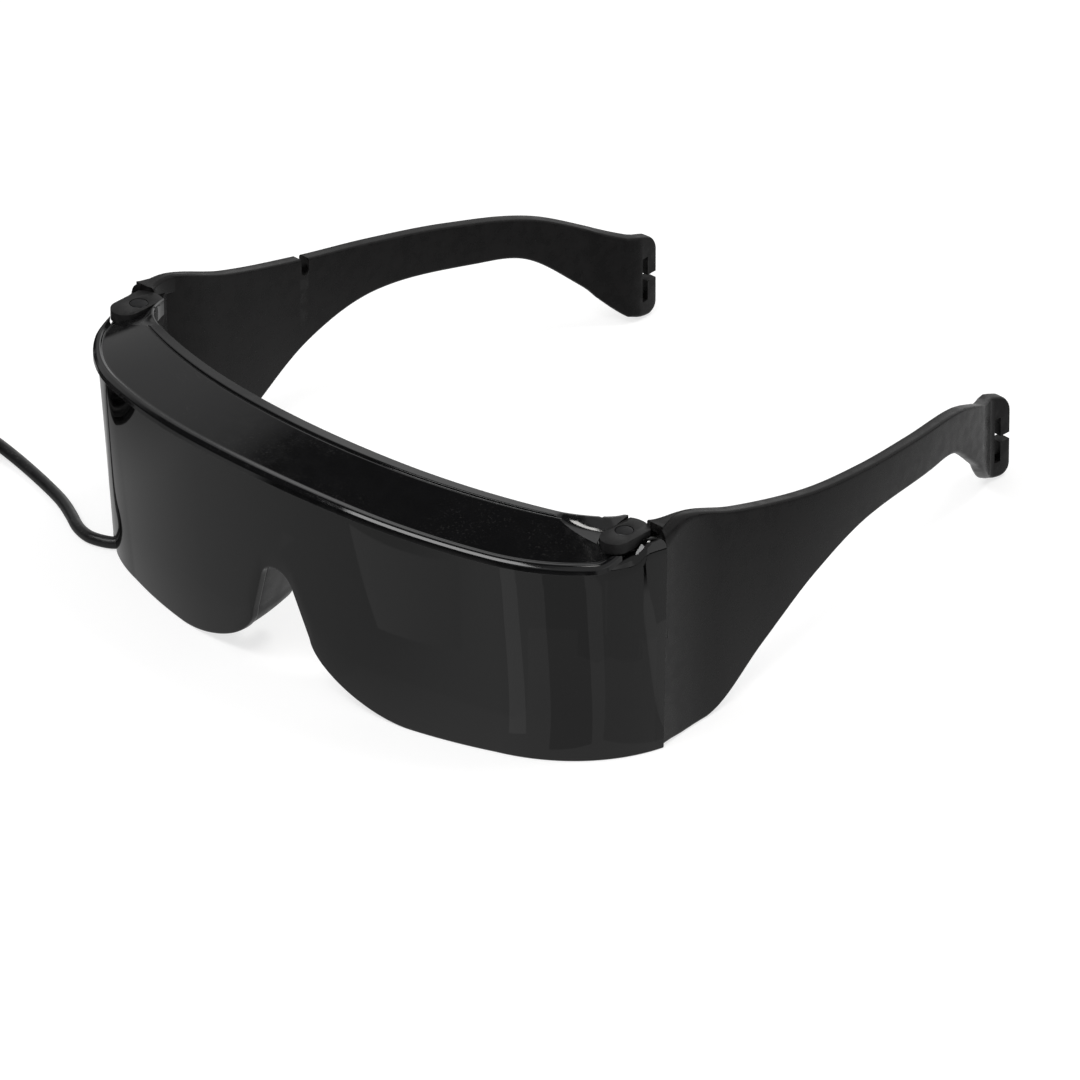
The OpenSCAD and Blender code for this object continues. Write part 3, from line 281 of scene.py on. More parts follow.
finishes = {
    "brow": makeFinish("glossBlackPlastic", (0.004, 0.004, 0.0043), 0.1, spread=0.06, contrast=0.15,
                       grainDepth=0.2, wear=0.12, dusty=0.04),
    "visor": makeFinish("smokedAcrylic", (0.004, 0.0038, 0.0038), 0.03, spread=0.02, contrast=0.1,
                        grainDepth=0.05, wear=0.02, dusty=0.02,
                        sockets={"Transmission Weight": 0.9, "IOR": 1.49}),
    "saddle": makeFinish("saddlePlastic", (0.02, 0.02, 0.021), 0.33, grainDepth=2),
    "carrier": makeFinish("carrierPlastic", (0.008, 0.008, 0.0083), 0.5, grainDepth=4),
    "hinge": makeFinish("hingePlastic", (0.012, 0.0118, 0.012), 0.42, grainDepth=2, dusty=0.05, wear=0.2,
                        wornColour=(0.04, 0.04, 0.04), sockets={"Specular IOR Level": 0.15}),
    "pin": makeFinish("blackedSteel", (0.02, 0.02, 0.021), 0.4, wear=0.35, wornColour=(0.25, 0.25, 0.25),
                      sockets={"Metallic": 1.0}),
    "washer": makeFinish("paleNylon", (0.5, 0.5, 0.47), 0.5, contrast=0.12),
    "temple": makeFinish("satinPlastic", (0.0062, 0.0058, 0.0059), 0.3, spread=0.14, contrast=0.7,
                         grainDepth=2, mottleSize=330, wornColour=(0.04, 0.04, 0.04), dusty=0.06,
                         sockets={"Specular IOR Level": 0.12}),
    "cell": makeFinish("crystalGlass", (0.045, 0.052, 0.047), 0.07, spread=0.02, contrast=0.08,
                       grainDepth=0.3, dusty=0.05, sockets={"Coat Weight": 0.5, "Coat Roughness": 0.03}),
    "film": makeFinish("polariserFilm", (0.05, 0.052, 0.048), 0.16, spread=0.03, contrast=0.06,
                       grainDepth=0.5),
    "gasket": makeFinish("foamRubber", (0.018, 0.018, 0.018), 0.85, grainSize=5200, grainDepth=30),
    "window": makeFinish("clearAcrylic", (0.82, 0.84, 0.84), 0.05, spread=0.03, contrast=0.03,
                         grainDepth=0.3, dusty=0.08, sockets={"Transmission Weight": 1.0, "IOR": 1.49}),
    "flex": makeFinish("amberFlex", (0.5, 0.22, 0.04), 0.32, contrast=0.3),
    "board": makeFinish("boardLaminate", (0.02, 0.085, 0.035), 0.35, contrast=0.4),
    "chip": makeFinish("chipResin", (0.014, 0.014, 0.014), 0.55),
    "capacitor": makeFinish("capacitorSleeve", (0.32, 0.21, 0.05), 0.35),
    "socket": makeFinish("ivoryNylon", (0.66, 0.64, 0.56), 0.42, contrast=0.1),
    "screw": makeFinish("zincSteel", (0.52, 0.52, 0.53), 0.28, spread=0.2, contrast=0.2,
                        wornColour=(0.75, 0.75, 0.75), sockets={"Metallic": 1.0}),
    "lead": makeFinish("leadSheath", (0.011, 0.011, 0.0115), 0.38, spread=0.14, mottleSize=420,
                       grainDepth=3, wear=0.0),
    "relief": makeFinish("reliefRubber", (0.009, 0.009, 0.009), 0.52, grainDepth=8),
    "tie": makeFinish("wovenTie", (0.014, 0.014, 0.014), 0.8, grainSize=2600, grainDepth=60),
    "plug": makeFinish("plugRubber", (0.011, 0.011, 0.011), 0.45, grainDepth=6),
    "contact": makeFinish("giltContact", (0.83, 0.62, 0.27), 0.2, spread=0.12, contrast=0.12,
                          wornColour=(0.8, 0.78, 0.7), grainDepth=0.8, sockets={"Metallic": 1.0}),
    "insulator": makeFinish("insulatorRing", (0.01, 0.01, 0.01), 0.4),
}
print("finishes made:", len(finishes))


# Helpers for meshes: how near points are merged, in metres, the most of a side that a rounded corner
# takes, and the turn in radians at which a corner counts as fully sharp
meshCare = {"merge": 2e-7, "nodeMerge": 2e-6, "cornerShare": 0.45, "sharpTurn": 0.9, "bevelAngle": 32}


def meshFrom(build):
    # build(bm) fills an empty bmesh; the result has its normals outward
    bm = bmesh.new()
    build(bm)
    bmesh.ops.remove_doubles(bm, verts=bm.verts, dist=meshCare["merge"])
    bmesh.ops.recalc_face_normals(bm, faces=bm.faces)
    mesh = bpy.data.meshes.new("shape")
    bm.to_mesh(mesh)
    bm.free()
    return mesh


def softenRing(ring, radii, steps=3):
    # Rounds each corner of a closed ring; radii holds one for each corner, or is one for all
    made, most = [], meshCare["cornerShare"]
    for i, corner in enumerate(ring):
        radius = (radii[i] if isinstance(radii, list) else radii) / 1000
        toLast, toNext = ring[i - 1] - corner, ring[(i + 1) % len(ring)] - corner
        start = corner + toLast.normalized() * min(radius, most * toLast.length)
        end = corner + toNext.normalized() * min(radius, most * toNext.length)
        for k in range(steps + 1):
            t = k / steps
            made.append((1 - t) ** 2 * start + 2 * t * (1 - t) * corner + t ** 2 * end)
    return made


def loftMesh(rings, closed=False):
    # A skin over the rings, with an end face at each end unless it closes on itself
    def build(bm):
        rows = [[bm.verts.new(point) for point in ring] for ring in rings]
        for near, far in zip(rows, rows[1:] + rows[:1] if closed else rows[1:]):
            for i in range(len(near)):
                k = (i + 1) % len(near)
                bm.faces.new((near[i], near[k], far[k], far[i]))
        if not closed:
            bm.faces.new(list(reversed(rows[0])))
            bm.faces.new(rows[-1])
    return meshFrom(build)


def prismMesh(outline, low, high):
    return loftMesh([[place(x, y, z) for x, y in outline] for z in (low, high)])


def spunMesh(profile, start, direction, segments=48):
    # profile: [distance along, radius], spun about the line from start
    def build(bm):
        axis = direction.normalized()
        side = axis.cross(Vector((0, 0, 1)) if abs(axis.z) < 0.9 else Vector((1, 0, 0))).normalized()
        other = axis.cross(side)
        rows = []
        for along, radius in profile:
            centre = start + axis * (along / 1000)
            if radius < 1e-6:
                rows.append([bm.verts.new(centre)])
                continue
            rows.append([bm.verts.new(centre + (side * math.cos(a) + other * math.sin(a)) * radius / 1000)
                         for a in (2 * math.pi * k / segments for k in range(segments))])
        for near, far in zip(rows, rows[1:]):
            for k in range(segments):
                n = (k + 1) % segments
                corners = [near[k % len(near)], near[n % len(near)], far[n % len(far)], far[k % len(far)]]
                corners = [c for i, c in enumerate(corners) if c not in corners[:i]]
                if len(corners) > 2:
                    bm.faces.new(corners)
    return meshFrom(build)


def rodMesh(radius, length, start, direction, segments=48):
    return spunMesh([(0, 0), (0, radius), (length, radius), (length, 0)], start, direction, segments)


def blockMesh(centre, size, turn=0.0):
    def build(bm):
        spot = Matrix.Translation(place(*centre)) @ Matrix.Rotation(turn, 4, "Z")
        shape = Matrix.Diagonal((size[0] / 1000, size[1] / 1000, size[2] / 1000, 1))
        bmesh.ops.create_cube(bm, size=1, matrix=spot @ shape)
    return meshFrom(build)


def arcPoints(x, y, radius, start, end, steps):
    angles = [start + (end - start) * k / steps for k in range(steps + 1)]
    return [(x + radius * math.cos(a), y + radius * math.sin(a)) for a in angles]


def circlePoints(x, y, radius, steps=64):
    return arcPoints(x, y, radius, 0, 2 * math.pi, steps)[:-1]


def finished(owner):
    # The object's result as a plain mesh; the object and its modifiers go
    bpy.context.view_layer.update()
    depsgraph = bpy.context.evaluated_depsgraph_get()
    mesh = bpy.data.meshes.new_from_object(owner.evaluated_get(depsgraph))
    owner.modifiers.clear()
    bpy.data.objects.remove(owner)
    return mesh


def carve(mesh, cutters):
    # Takes the cutters' shapes out of the mesh
    owner = newObject("carved", mesh)
    helpers = [newObject("cutter", cutter) for cutter in cutters]
    for helper in helpers:
        cut = owner.modifiers.new("cut", "BOOLEAN")
        cut.operation, cut.solver, cut.object = "DIFFERENCE", "EXACT", helper
    made = finished(owner)
    for helper in helpers:
        bpy.data.objects.remove(helper)
    return made


def joinMeshes(*meshes):
    bm = bmesh.new()
    for mesh in meshes:
        bm.from_mesh(mesh)
    made = bpy.data.meshes.new("joined")
    bm.to_mesh(made)
    bm.free()
    return made


def markCorners(mesh):
    # Keeps how sharply the surface turns at each point, for the worn corners
    bm = bmesh.new()
    bm.from_mesh(mesh)
    layer = bm.verts.layers.float.new("edgeTurn")
    for vert in bm.verts:
        turns = [edge.calc_face_angle(0.0) for edge in vert.link_edges if len(edge.link_faces) == 2]
        vert[layer] = min(1.0, max(turns, default=0.0) / meshCare["sharpTurn"])
    bm.to_mesh(mesh)
    bm.free()


def weighNormals(mesh):
    # Lets the large faces decide the shading beside a cut
    owner = newObject("weighed", mesh)
    weigh = owner.modifiers.new("normals", "WEIGHTED_NORMAL")
    weigh.mode, weigh.weight, weigh.keep_sharp = "FACE_AREA", 60, True
    return finished(owner)


def settle(name, mesh, body, slot, stands=(), sharp=38, weighed=False):
    # Makes the finished piece: smooth faces, its finish, its body and the nodes it stands for
    markCorners(mesh)
    mesh.shade_smooth()
    mesh.set_sharp_from_angle(angle=math.radians(sharp))
    if weighed:
        mesh = weighNormals(mesh)
    mesh.name = name
    mesh.materials.clear()
    mesh.materials.append(finishes[slot])
    piece = newObject(name, mesh)
    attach(piece, body)
    if stands:
        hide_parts(*stands)
    return piece


def softenNode(node, name, body, slot, width=0.25, segments=2, trim=()):
    # A copy of a CAD node with its corners rounded
    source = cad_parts[node].data.copy()
    bm = bmesh.new()
    bm.from_mesh(source)
    bmesh.ops.remove_doubles(bm, verts=bm.verts, dist=meshCare["nodeMerge"])
    bmesh.ops.dissolve_limit(bm, angle_limit=math.radians(1.0), verts=bm.verts, edges=bm.edges)
    bm.to_mesh(source)
    bm.free()
    if trim:
        source = carve(source, trim)
    owner = newObject("rounded", source)
    bevel = owner.modifiers.new("bevel", "BEVEL")
    bevel.width, bevel.segments = width / 1000, segments
    bevel.limit_method, bevel.angle_limit = "ANGLE", math.radians(meshCare["bevelAngle"])
    return settle(name, finished(owner), body, slot, [node])


# Helpers for Geometry Nodes
def geometryTree(name, inputs):
    tree = bpy.data.node_groups.new(name, "GeometryNodeTree")
    tree.interface.new_socket("Geometry", in_out="OUTPUT", socket_type="NodeSocketGeometry")
    for label, kind in inputs.items():
        tree.interface.new_socket(label, in_out="INPUT", socket_type="NodeSocket" + kind)
    return tree, tree.nodes.new("NodeGroupInput").outputs, tree.nodes.new("NodeGroupOutput")


def endTree(tree, geometry, made, finish=None):
    # Every tree ends with real geometry, and one that makes a piece with its finish
    ended = addNode(tree, "GeometryNodeRealizeInstances", {"Geometry": geometry})
    if finish:
        ended = addNode(tree, "GeometryNodeSetMaterial", {"Geometry": ended.outputs[0], "Material": finish})
    tree.links.new(ended.outputs[0], made.inputs["Geometry"])
    return tree


def runTree(tree, values):
    # Puts the tree on an empty mesh, sets its inputs by identifier and returns the plain mesh
    owner = newObject("owner", bpy.data.meshes.new("empty"))
    nodes = owner.modifiers.new("nodes", "NODES")
    nodes.node_group = tree
    for item in tree.interface.items_tree:
        if item.in_out == "INPUT" and item.name in values:
            nodes[item.identifier] = values[item.name]
    return finished(owner)


# The lead's coil as a line: loops that spiral in and out, and climb where the spiral turns back
coilShape = {"Loops": 4.5, "Layers": 4, "Outer radius": 0.023425, "Pitch": 0.0033,
             "First height": 0.0022, "Steps": 48, "Centre X": -0.134, "Centre Y": (12 - halfLength) / 1000}


def makeCoilTree():
    tree, given, made = geometryTree("coilLine", {
        "Loops": "Float", "Layers": "Int", "Outer radius": "Float", "Pitch": "Float",
        "First height": "Float", "Steps": "Int", "Centre X": "Float", "Centre Y": "Float"})
    loops, pitch = given["Loops"], given["Pitch"]
    count = timesPlus(times(loops, given["Layers"]), given["Steps"], 1.0)
    line = addNode(tree, "GeometryNodeMeshLine", {"Count": count})
    turns = calc("DIVIDE", addNode(tree, "GeometryNodeInputIndex").outputs[0], given["Steps"])
    last = minus(given["Layers"], 1.0)
    layer = smaller(calc("FLOOR", calc("DIVIDE", turns, loops)), last)
    inLayer = minus(turns, times(layer, loops))
    odd = calc("MODULO", layer, 2.0)
    # Even layers wind inwards, odd layers outwards
    wound = plus(times(odd, minus(loops, inLayer)), times(minus(1.0, odd), inLayer))
    radius = minus(given["Outer radius"], times(wound, pitch))
    # The climb starts a quarter of a turn before a layer's end and takes half a turn
    ahead = plus(turns, 0.25)
    climbed = calc("FLOOR", calc("DIVIDE", ahead, loops))
    step = smaller(times(minus(ahead, times(climbed, loops)), 2.0), 1.0)
    level = smaller(larger(minus(plus(climbed, step), 1.0), 0.0), last)
    angle = timesPlus(turns, 2 * math.pi, math.pi / 2)
    spot = addNode(tree, "ShaderNodeCombineXYZ", {
        "X": timesPlus(calc("COSINE", angle), radius, given["Centre X"]),
        "Y": timesPlus(calc("SINE", angle), radius, given["Centre Y"]),
        "Z": timesPlus(level, pitch, given["First height"])})
    moved = addNode(tree, "GeometryNodeSetPosition", {"Geometry": line.outputs[0],
                                                      "Position": spot.outputs[0]})
    return endTree(tree, moved.outputs[0], made)


def makeLeadTree():
    # A round lead along a path, with the distance from its start kept as alongLead
    tree, given, made = geometryTree("roundLead", {"Path": "Object", "Diameter": "Float", "Sides": "Int",
                                                   "Finish": "Material"})
    path = addNode(tree, "GeometryNodeObjectInfo", {"Object": given["Path"]})
    along = addNode(tree, "GeometryNodeSplineParameter").outputs["Length"]
    measured = addNode(tree, "GeometryNodeStoreNamedAttribute",
                       {"Geometry": path.outputs["Geometry"], "Name": "alongLead", "Value": along},
                       data_type="FLOAT", domain="POINT")
    ring = addNode(tree, "GeometryNodeCurvePrimitiveCircle",
                   {"Resolution": given["Sides"], "Radius": times(given["Diameter"], 0.5)})
    tube = addNode(tree, "GeometryNodeCurveToMesh", {"Curve": measured.outputs[0],
                                                     "Profile Curve": ring.outputs[0], "Fill Caps": True})
    return endTree(tree, tube.outputs[0], made, given["Finish"])


def makeRingsTree():
    # A row of rings along Z whose radius goes from the first to the last
    tree, given, made = geometryTree("gripRings", {
        "Count": "Int", "Pitch": "Float", "First radius": "Float", "Last radius": "Float",
        "Thickness": "Float", "Sides": "Int", "Wire sides": "Int", "Finish": "Material"})
    step = addNode(tree, "ShaderNodeCombineXYZ", {"Z": given["Pitch"]}).outputs[0]
    spots = addNode(tree, "GeometryNodeMeshLine", {"Count": given["Count"], "Offset": step})
    index = addNode(tree, "GeometryNodeInputIndex").outputs[0]
    share = calc("DIVIDE", index, minus(given["Count"], 1.0))
    grown = timesPlus(share, minus(given["Last radius"], given["First radius"]), given["First radius"])
    loop = addNode(tree, "GeometryNodeCurvePrimitiveCircle", {"Resolution": given["Sides"], "Radius": 1.0})
    rings = addNode(tree, "GeometryNodeInstanceOnPoints",
                    {"Points": spots.outputs[0], "Instance": loop.outputs[0], "Scale": grown})
    real = addNode(tree, "GeometryNodeRealizeInstances", {"Geometry": rings.outputs[0]})
    wire = addNode(tree, "GeometryNodeCurvePrimitiveCircle",
                   {"Resolution": given["Wire sides"], "Radius": times(given["Thickness"], 0.5)})
    solid = addNode(tree, "GeometryNodeCurveToMesh", {"Curve": real.outputs[0],
                                                      "Profile Curve": wire.outputs[0]})
    return endTree(tree, solid.outputs[0], made, given["Finish"])


coilTree, leadTree, ringsTree = makeCoilTree(), makeLeadTree(), makeRingsTree()


def ringsAlong(shape, start, direction, slot):
    mesh = runTree(ringsTree, {
        "Count": shape["count"], "Pitch": shape["pitch"] / 1000, "First radius": shape["radii"][0] / 1000,
        "Last radius": shape["radii"][1] / 1000, "Thickness": shape["thickness"] / 1000, "Sides": 40,
        "Wire sides": 10, "Finish": finishes[slot]})
    axis = direction.normalized()
    turn = axis.to_track_quat("Z", "Y").to_matrix().to_4x4()
    mesh.transform(Matrix.Translation(start + axis * (shape["first"] / 1000)) @ turn)
    return mesh


def smoothPath(points, steps):
    # A Catmull-Rom curve through the points
    points = [place(*point) for point in points]
    made = []
    for i in range(len(points) - 1):
        a, b = points[max(i - 1, 0)], points[i]
        c, d = points[i + 1], points[min(i + 2, len(points) - 1)]
        for k in range(steps):
            t = k / steps
            made.append(b + t * (c - a) / 2 + t * t * (a - 2.5 * b + 2 * c - d / 2)
                        + t ** 3 * ((d - a) / 2 + 1.5 * (b - c)))
    return made + [points[-1]]


def leadMesh(points, diameter, slot, sides=16):
    curve = bpy.data.curves.new("leadPath", "CURVE")
    curve.dimensions = "3D"
    spline = curve.splines.new("POLY")
    spline.points.add(len(points) - 1)
    for dot, point in zip(spline.points, points):
        dot.co = (*point, 1)
    path = newObject("leadPath", curve)
    mesh = runTree(leadTree, {"Path": path, "Diameter": diameter / 1000, "Sides": sides,
                              "Finish": finishes[slot]})
    bpy.data.objects.remove(path)
    return mesh


# The cord: out of the visor's lower corner, under its foot, along the table to its coil and plug
cordShape = {
    "diameter": 2.8, "length": 1.95,
    "run": [(-52, 25.6, 16), (-58, 25.2, 8.6), (-60.8, 24.8, 5.2), (-63.2, 23.8, 2.6), (-66.2, 22, 1.5),
            (-69.2, 20.6, 1.4), (-72.8, 20.1, 1.4), (-77, 21.3, 1.4), (-81.2, 23.7, 1.4), (-85.4, 26, 1.4),
            (-90, 28, 1.4), (-98, 30.6, 1.5), (-108, 33.2, 1.8), (-118, 35, 2.2), (-126, 35.4, 2.2),
            (-131.2, 35.425, 2.2)],
    "tail": [(-136.8, 35.425, 12.1), (-144, 35.2, 11.6), (-153, 33.4, 8), (-162, 29.6, 4.8),
             (-169, 25.6, 4), (-174, 22.4, 4)],
}
cordCoil = [v.co.copy() for v in runTree(coilTree, coilShape).vertices]
cordPath = smoothPath(cordShape["run"], 5) + cordCoil + smoothPath(cordShape["tail"], 5)
print("cord path:", len(cordPath), "points,",
      round(sum((b - a).length for a, b in zip(cordPath, cordPath[1:])), 4), "m")
cord = settle("cord", leadMesh(cordPath, cordShape["diameter"], "lead"), "front", "lead",
              ["cord_run", "cord_coil", "cord_tail"], sharp=60)

reliefShape = {"profile": [(0, 1.45), (0, 2), (5.1, 2), (5.1, 2.35), (5.25, 2.5), (5.95, 2.5), (6.1, 2.35),
                           (6.1, 2), (11.1, 1.7), (11.1, 1.46)],
               "rings": {"first": 6.75, "pitch": 1.05, "count": 4, "radii": (1.92, 1.72), "thickness": 0.5}}


def makeRelief():
    start, away = cordPath[0], (place(*cordShape["run"][1]) - cordPath[0]).normalized()
    mesh = joinMeshes(spunMesh(reliefShape["profile"], start, away),
                      ringsAlong(reliefShape["rings"], start, away, "relief"))
    return settle("cord_relief", mesh, "front", "relief", ["strain_relief"])


relief = makeRelief()

# Profiles are [distance along, radius]; the tip's distances and the grooves' are back from its end
plugShape = {
    "sleeve": [(0, 1.5), (0, 1.8), (0.3, 1.9), (6.9, 2.75), (7, 2.7), (7, 0)],
    "sleeveRings": {"first": 0.9, "pitch": 1.25, "count": 5, "radii": (1.92, 2.5), "thickness": 0.7},
    "shell": [(0, 0), (0, 3.1), (0.25, 3.35), (1.6, 3.9), (2.2, 4), (15, 4), (15.2, 3.85), (15.8, 3.85),
              (16, 4), (17, 4), (17.7, 3.65), (18, 3.4), (18, 0)],
    "shellRings": {"first": 4.4, "pitch": 1.5, "count": 6, "radii": (3.82, 3.82), "thickness": 0.36},
    "pinLength": 14, "pinRadius": 1.75, "grooves": [8.4, 3.6], "grooveWidth": 0.6, "grooveDepth": 0.5,
    "bandBelow": 0.02,
    "tip": [(3.8, 1.75), (3.2, 1.45), (2.6, 1.25), (2.2, 1.33), (1.7, 1.65), (1.2, 1.55), (0.4, 0.8),
            (0.1, 0.45), (0, 0.3), (0, 0)],
}


def makePlug():
    p = plugShape
    away = cordPath[-1] - place(*cordShape["tail"][-2])
    away = Vector((away.x, away.y, 0)).normalized()
    sleeveStart = cordPath[-1]
    shellStart = sleeveStart + away * (p["sleeve"][-1][0] / 1000)
    pinStart = shellStart + away * (p["shell"][-1][0] / 1000)
    sleeve = joinMeshes(spunMesh(p["sleeve"], sleeveStart, away),
                        ringsAlong(p["sleeveRings"], sleeveStart, away, "plug"))
    shell = joinMeshes(spunMesh(p["shell"], shellStart, away, 64),
                       ringsAlong(p["shellRings"], shellStart, away, "plug"))
    radius, floor = p["pinRadius"], p["pinRadius"] - p["grooveDepth"]
    profile, bands = [(0, 0), (0, radius)], []
    for back in p["grooves"]:
        high = p["pinLength"] - back
        low, top = high - p["grooveWidth"], radius - p["bandBelow"]
        profile += [(low, radius), (low, floor), (high, floor), (high, radius)]
        bands.append(spunMesh([(low, floor), (low, top), (high, top), (high, floor)], pinStart, away))
    profile += [(p["pinLength"] - back, reach) for back, reach in p["tip"]]
    return [settle("plug_sleeve_ribbed", sleeve, "front", "plug", ["plug_sleeve"]),
            settle("plug_shell", shell, "front", "plug", ["plug_body"]),
            settle("plug_pin", spunMesh(profile, pinStart, away), "front", "contact", ["plug_contacts"]),
            settle("plug_bands", joinMeshes(*bands), "front", "insulator", ["plug_rings"])]


plugPieces = makePlug()

tieShape = {"width": 5, "thickness": 0.6, "room": 0.6, "above": 0.4, "middle": (-134, -4), "corner": 1.6,
            "edge": 0.12}


def makeTie():
    # A flat woven band around the coil's turns
    t = tieShape
    pitch, (x, y) = coilShape["Pitch"] * 1000, t["middle"]
    deep = coilShape["Loops"] * pitch + cordShape["diameter"] + 2 * t["room"]
    high = (coilShape["Layers"] - 1) * pitch + cordShape["diameter"] + t["above"]
    thick, edge, half, inner = t["thickness"], t["edge"], t["width"] / 2, t["width"] / 2 - t["edge"]
    rings = []
    for across, grow in ((-half, thick - edge), (-inner, thick), (inner, thick), (half, thick - edge),
                         (half, edge), (inner, 0), (-inner, 0), (-half, edge)):
        side, low, top = deep / 2 + grow, thick - grow, thick + high + grow
        corners = ((y - side, low), (y + side, low), (y + side, top), (y - side, top))
        rings.append(softenRing([place(x + across, *corner) for corner in corners], t["corner"], 6))
    return settle("coil_band", loftMesh(rings, closed=True), "front", "tie", ["coil_tie"])


tie = makeTie()
print("cord, relief, tie and plug made")


# Plan curves of the front: [front, middle and corner radius, first and second turn, start]
planShape = {"rim": (202, 120, 42, 6.6, 22.8, 0), "rear": (184, 138, 15.7, 6.6, 22.8, 18), "seam": 41,
             "rimHeight": 54, "rimDrop": 5, "rearHeight": 58, "rearDrop": 2.6}


def turnAt(curve, s):
    # Direction of the curve, in degrees, at the distance s along it
    front = math.radians(curve[3]) * curve[0]
    middle = math.radians(curve[4] - curve[3]) * curve[1]
    if s < front:
        return math.degrees(s / curve[0])
    if s < front + middle:
        return curve[3] + math.degrees((s - front) / curve[1])
    return curve[4] + math.degrees((s - front - middle) / curve[2])


def planAt(curve, turn):
    x, y = 0.0, curve[5]
    spans = ((curve[0], 0, curve[3]), (curve[1], curve[3], curve[4]), (curve[2], curve[4], 180))
    for radius, low, high in spans:
        if turn > low:
            a, b = math.radians(low), math.radians(min(turn, high))
            x += radius * (math.sin(b) - math.sin(a))
            y += radius * (math.cos(a) - math.cos(b))
    return x, y


def planPoint(curve, s):
    x, y = planAt(curve, turnAt(curve, abs(s)))
    return math.copysign(x, s), y


def planOut(curve, s):
    turn = math.radians(turnAt(curve, abs(s)))
    return math.copysign(math.sin(turn), s), -math.cos(turn)


def seamOf(curve):
    # Length of the curve and half its width, at the seam with the temples
    y = planAt(curve, curve[4])[1]
    turn = math.degrees(math.acos(math.cos(math.radians(curve[4])) - (planShape["seam"] - y) / curve[2]))
    length = (math.radians(curve[3]) * curve[0] + math.radians(curve[4] - curve[3]) * curve[1]
              + math.radians(turn - curve[4]) * curve[2])
    return length, planAt(curve, turn)[0]


rimCurve, rearCurve = planShape["rim"], planShape["rear"]
(rimLength, rimHalf), (rearLength, rearHalf) = seamOf(rimCurve), seamOf(rearCurve)


def rimHeight(x):
    return planShape["rimHeight"] - planShape["rimDrop"] * (x / rimHalf) ** 2


def rearHeight(x):
    return planShape["rearHeight"] - planShape["rearDrop"] * (x / rearHalf) ** 2


def easeIn(value, low, high):
    t = min(1.0, max(0.0, (value - low) / (high - low)))
    return t * t * (3 - 2 * t)


hingeShape = {
    "x": 72, "y": 36, "earWidth": 6.8, "earFront": 7.6, "trimmedFront": 6.8, "earShift": 0.6, "earGap": 0.4,
    "seamRadius": 6, "top": 53.5, "earThickness": 2.4, "lowEar": 24, "washer": 0.4, "play": 0.1,
    "trimSide": 2, "trimDepth": 8, "trimBelow": 0.05,
    # Where the temple swings behind the pin, and where its cap swings round the ear
    "roomRadius": 7.4, "roomSide": 4.7, "roomFront": -1.6, "sweepRadii": (7.6, 5.5),
    "sweepFrom": -12.5, "sweepTo": 192.5,
    # Above these heights nothing of the part is left in a cutter's way
    "cutTop": 60, "capTop": 64,
}


def atPin(side, points):
    # Points about the hinge pin, as an outline on that side of the part
    made = [(side * (hingeShape["x"] + x), hingeShape["y"] + y) for x, y in points]
    return made if side > 0 else made[::-1]


def earCut(gap, side, front, low, high):
    # The ear's shape seen from above: a round front, and an arc about the pin behind
    h = hingeShape
    half, rear = h["earWidth"] / 2 + gap, h["seamRadius"] - h["earGap"] + gap
    right, left = h["earShift"] + half, h["earShift"] - half
    points = arcPoints(h["earShift"], h["earWidth"] / 2 - front, half, math.pi, 2 * math.pi, 24)
    points += arcPoints(0, 0, rear, math.acos(min(1, right / rear)), math.acos(max(-1, left / rear)), 16)
    return prismMesh(atPin(side, points), low, high)


def templeRoom(side, low, high):
    h = hingeShape
    points = [(min(x, h["roomSide"]), max(y, h["roomFront"]))
              for x, y in circlePoints(0, 0, h["roomRadius"], 72)]
    return prismMesh(atPin(side, [p for i, p in enumerate(points) if p != points[i - 1]]), low, high)


def sweepArc(side, low, high):
    start, end = math.radians(hingeShape["sweepFrom"]), math.radians(hingeShape["sweepTo"])
    outer, inner = hingeShape["sweepRadii"]
    ring = arcPoints(0, 0, outer, start, end, 40) + arcPoints(0, 0, inner, end, start, 40)
    return prismMesh(atPin(side, ring), low, high)


# Brow: across the band, from the lip's rim to the rear edge. The parts of its section are pairs of
# [distance across, height]: the lip's from the rim, the band's from the bead, the rear's from the edge.
browShape = {
    "steps": 120, "beadWidth": 2.8, "beadFall": 1.3, "beadFallFrom": 30, "beadFallTo": 41, "wall": 2.4,
    "skirt": 47, "curlFrom": 25, "curlTo": 35, "curlIn": 2.8, "curlUp": 3.2,
    "lip": [(0, -1.8), (0, -0.5), (0.75, 0.22), (1.5, 0.3), (2.2, 0.06)],
    "band": [(-0.5, -0.42), (-0.1, -0.55), (0.05, -0.08), (0.35, 0)],
    "rear": [(-0.15, 0), (0, -0.6)], "roof": 3.5, "lipInside": [(4.4, -1.5), (3.6, -1.8)],
    "rounding": [0.08, 0.25, 0.25, 0.3, 0.35, 0.3, 0.15, 0.2, 0.2, 0.15, 0.3, 0.2, 0.1, 0.2, 0.1, 0.1],
    # The falling end: where it starts, its ridge, its plane and the hollow that rises to the rear
    "shelfStart": 0.7, "shelfRings": 40, "shelfRidge": 1.9, "shelfFrom": 28.7, "shelfHeight": 54.3,
    "shelfX": 64.7, "shelfFallX": 0.35, "shelfFallY": 0.053, "shelfHollow": 4.2, "shelfRear": 0.8,
    "shelfBelow": 0.03, "shelfSteps": 5,
    # Gap and heights of the two cuts for the ear, and heights of the temple's room and sweep
    "earCuts": [(0.3, 46.9, 51), (0.25, 50.9, 60)], "room": (46, 50.8), "sweep": (50.7, 60),
    "lipEnd": 33, "endBlock": (27.2, 15.2, 46), "endBlockHeight": 65,
}


def curlAt(y):
    return easeIn(y, browShape["curlFrom"], browShape["curlTo"])


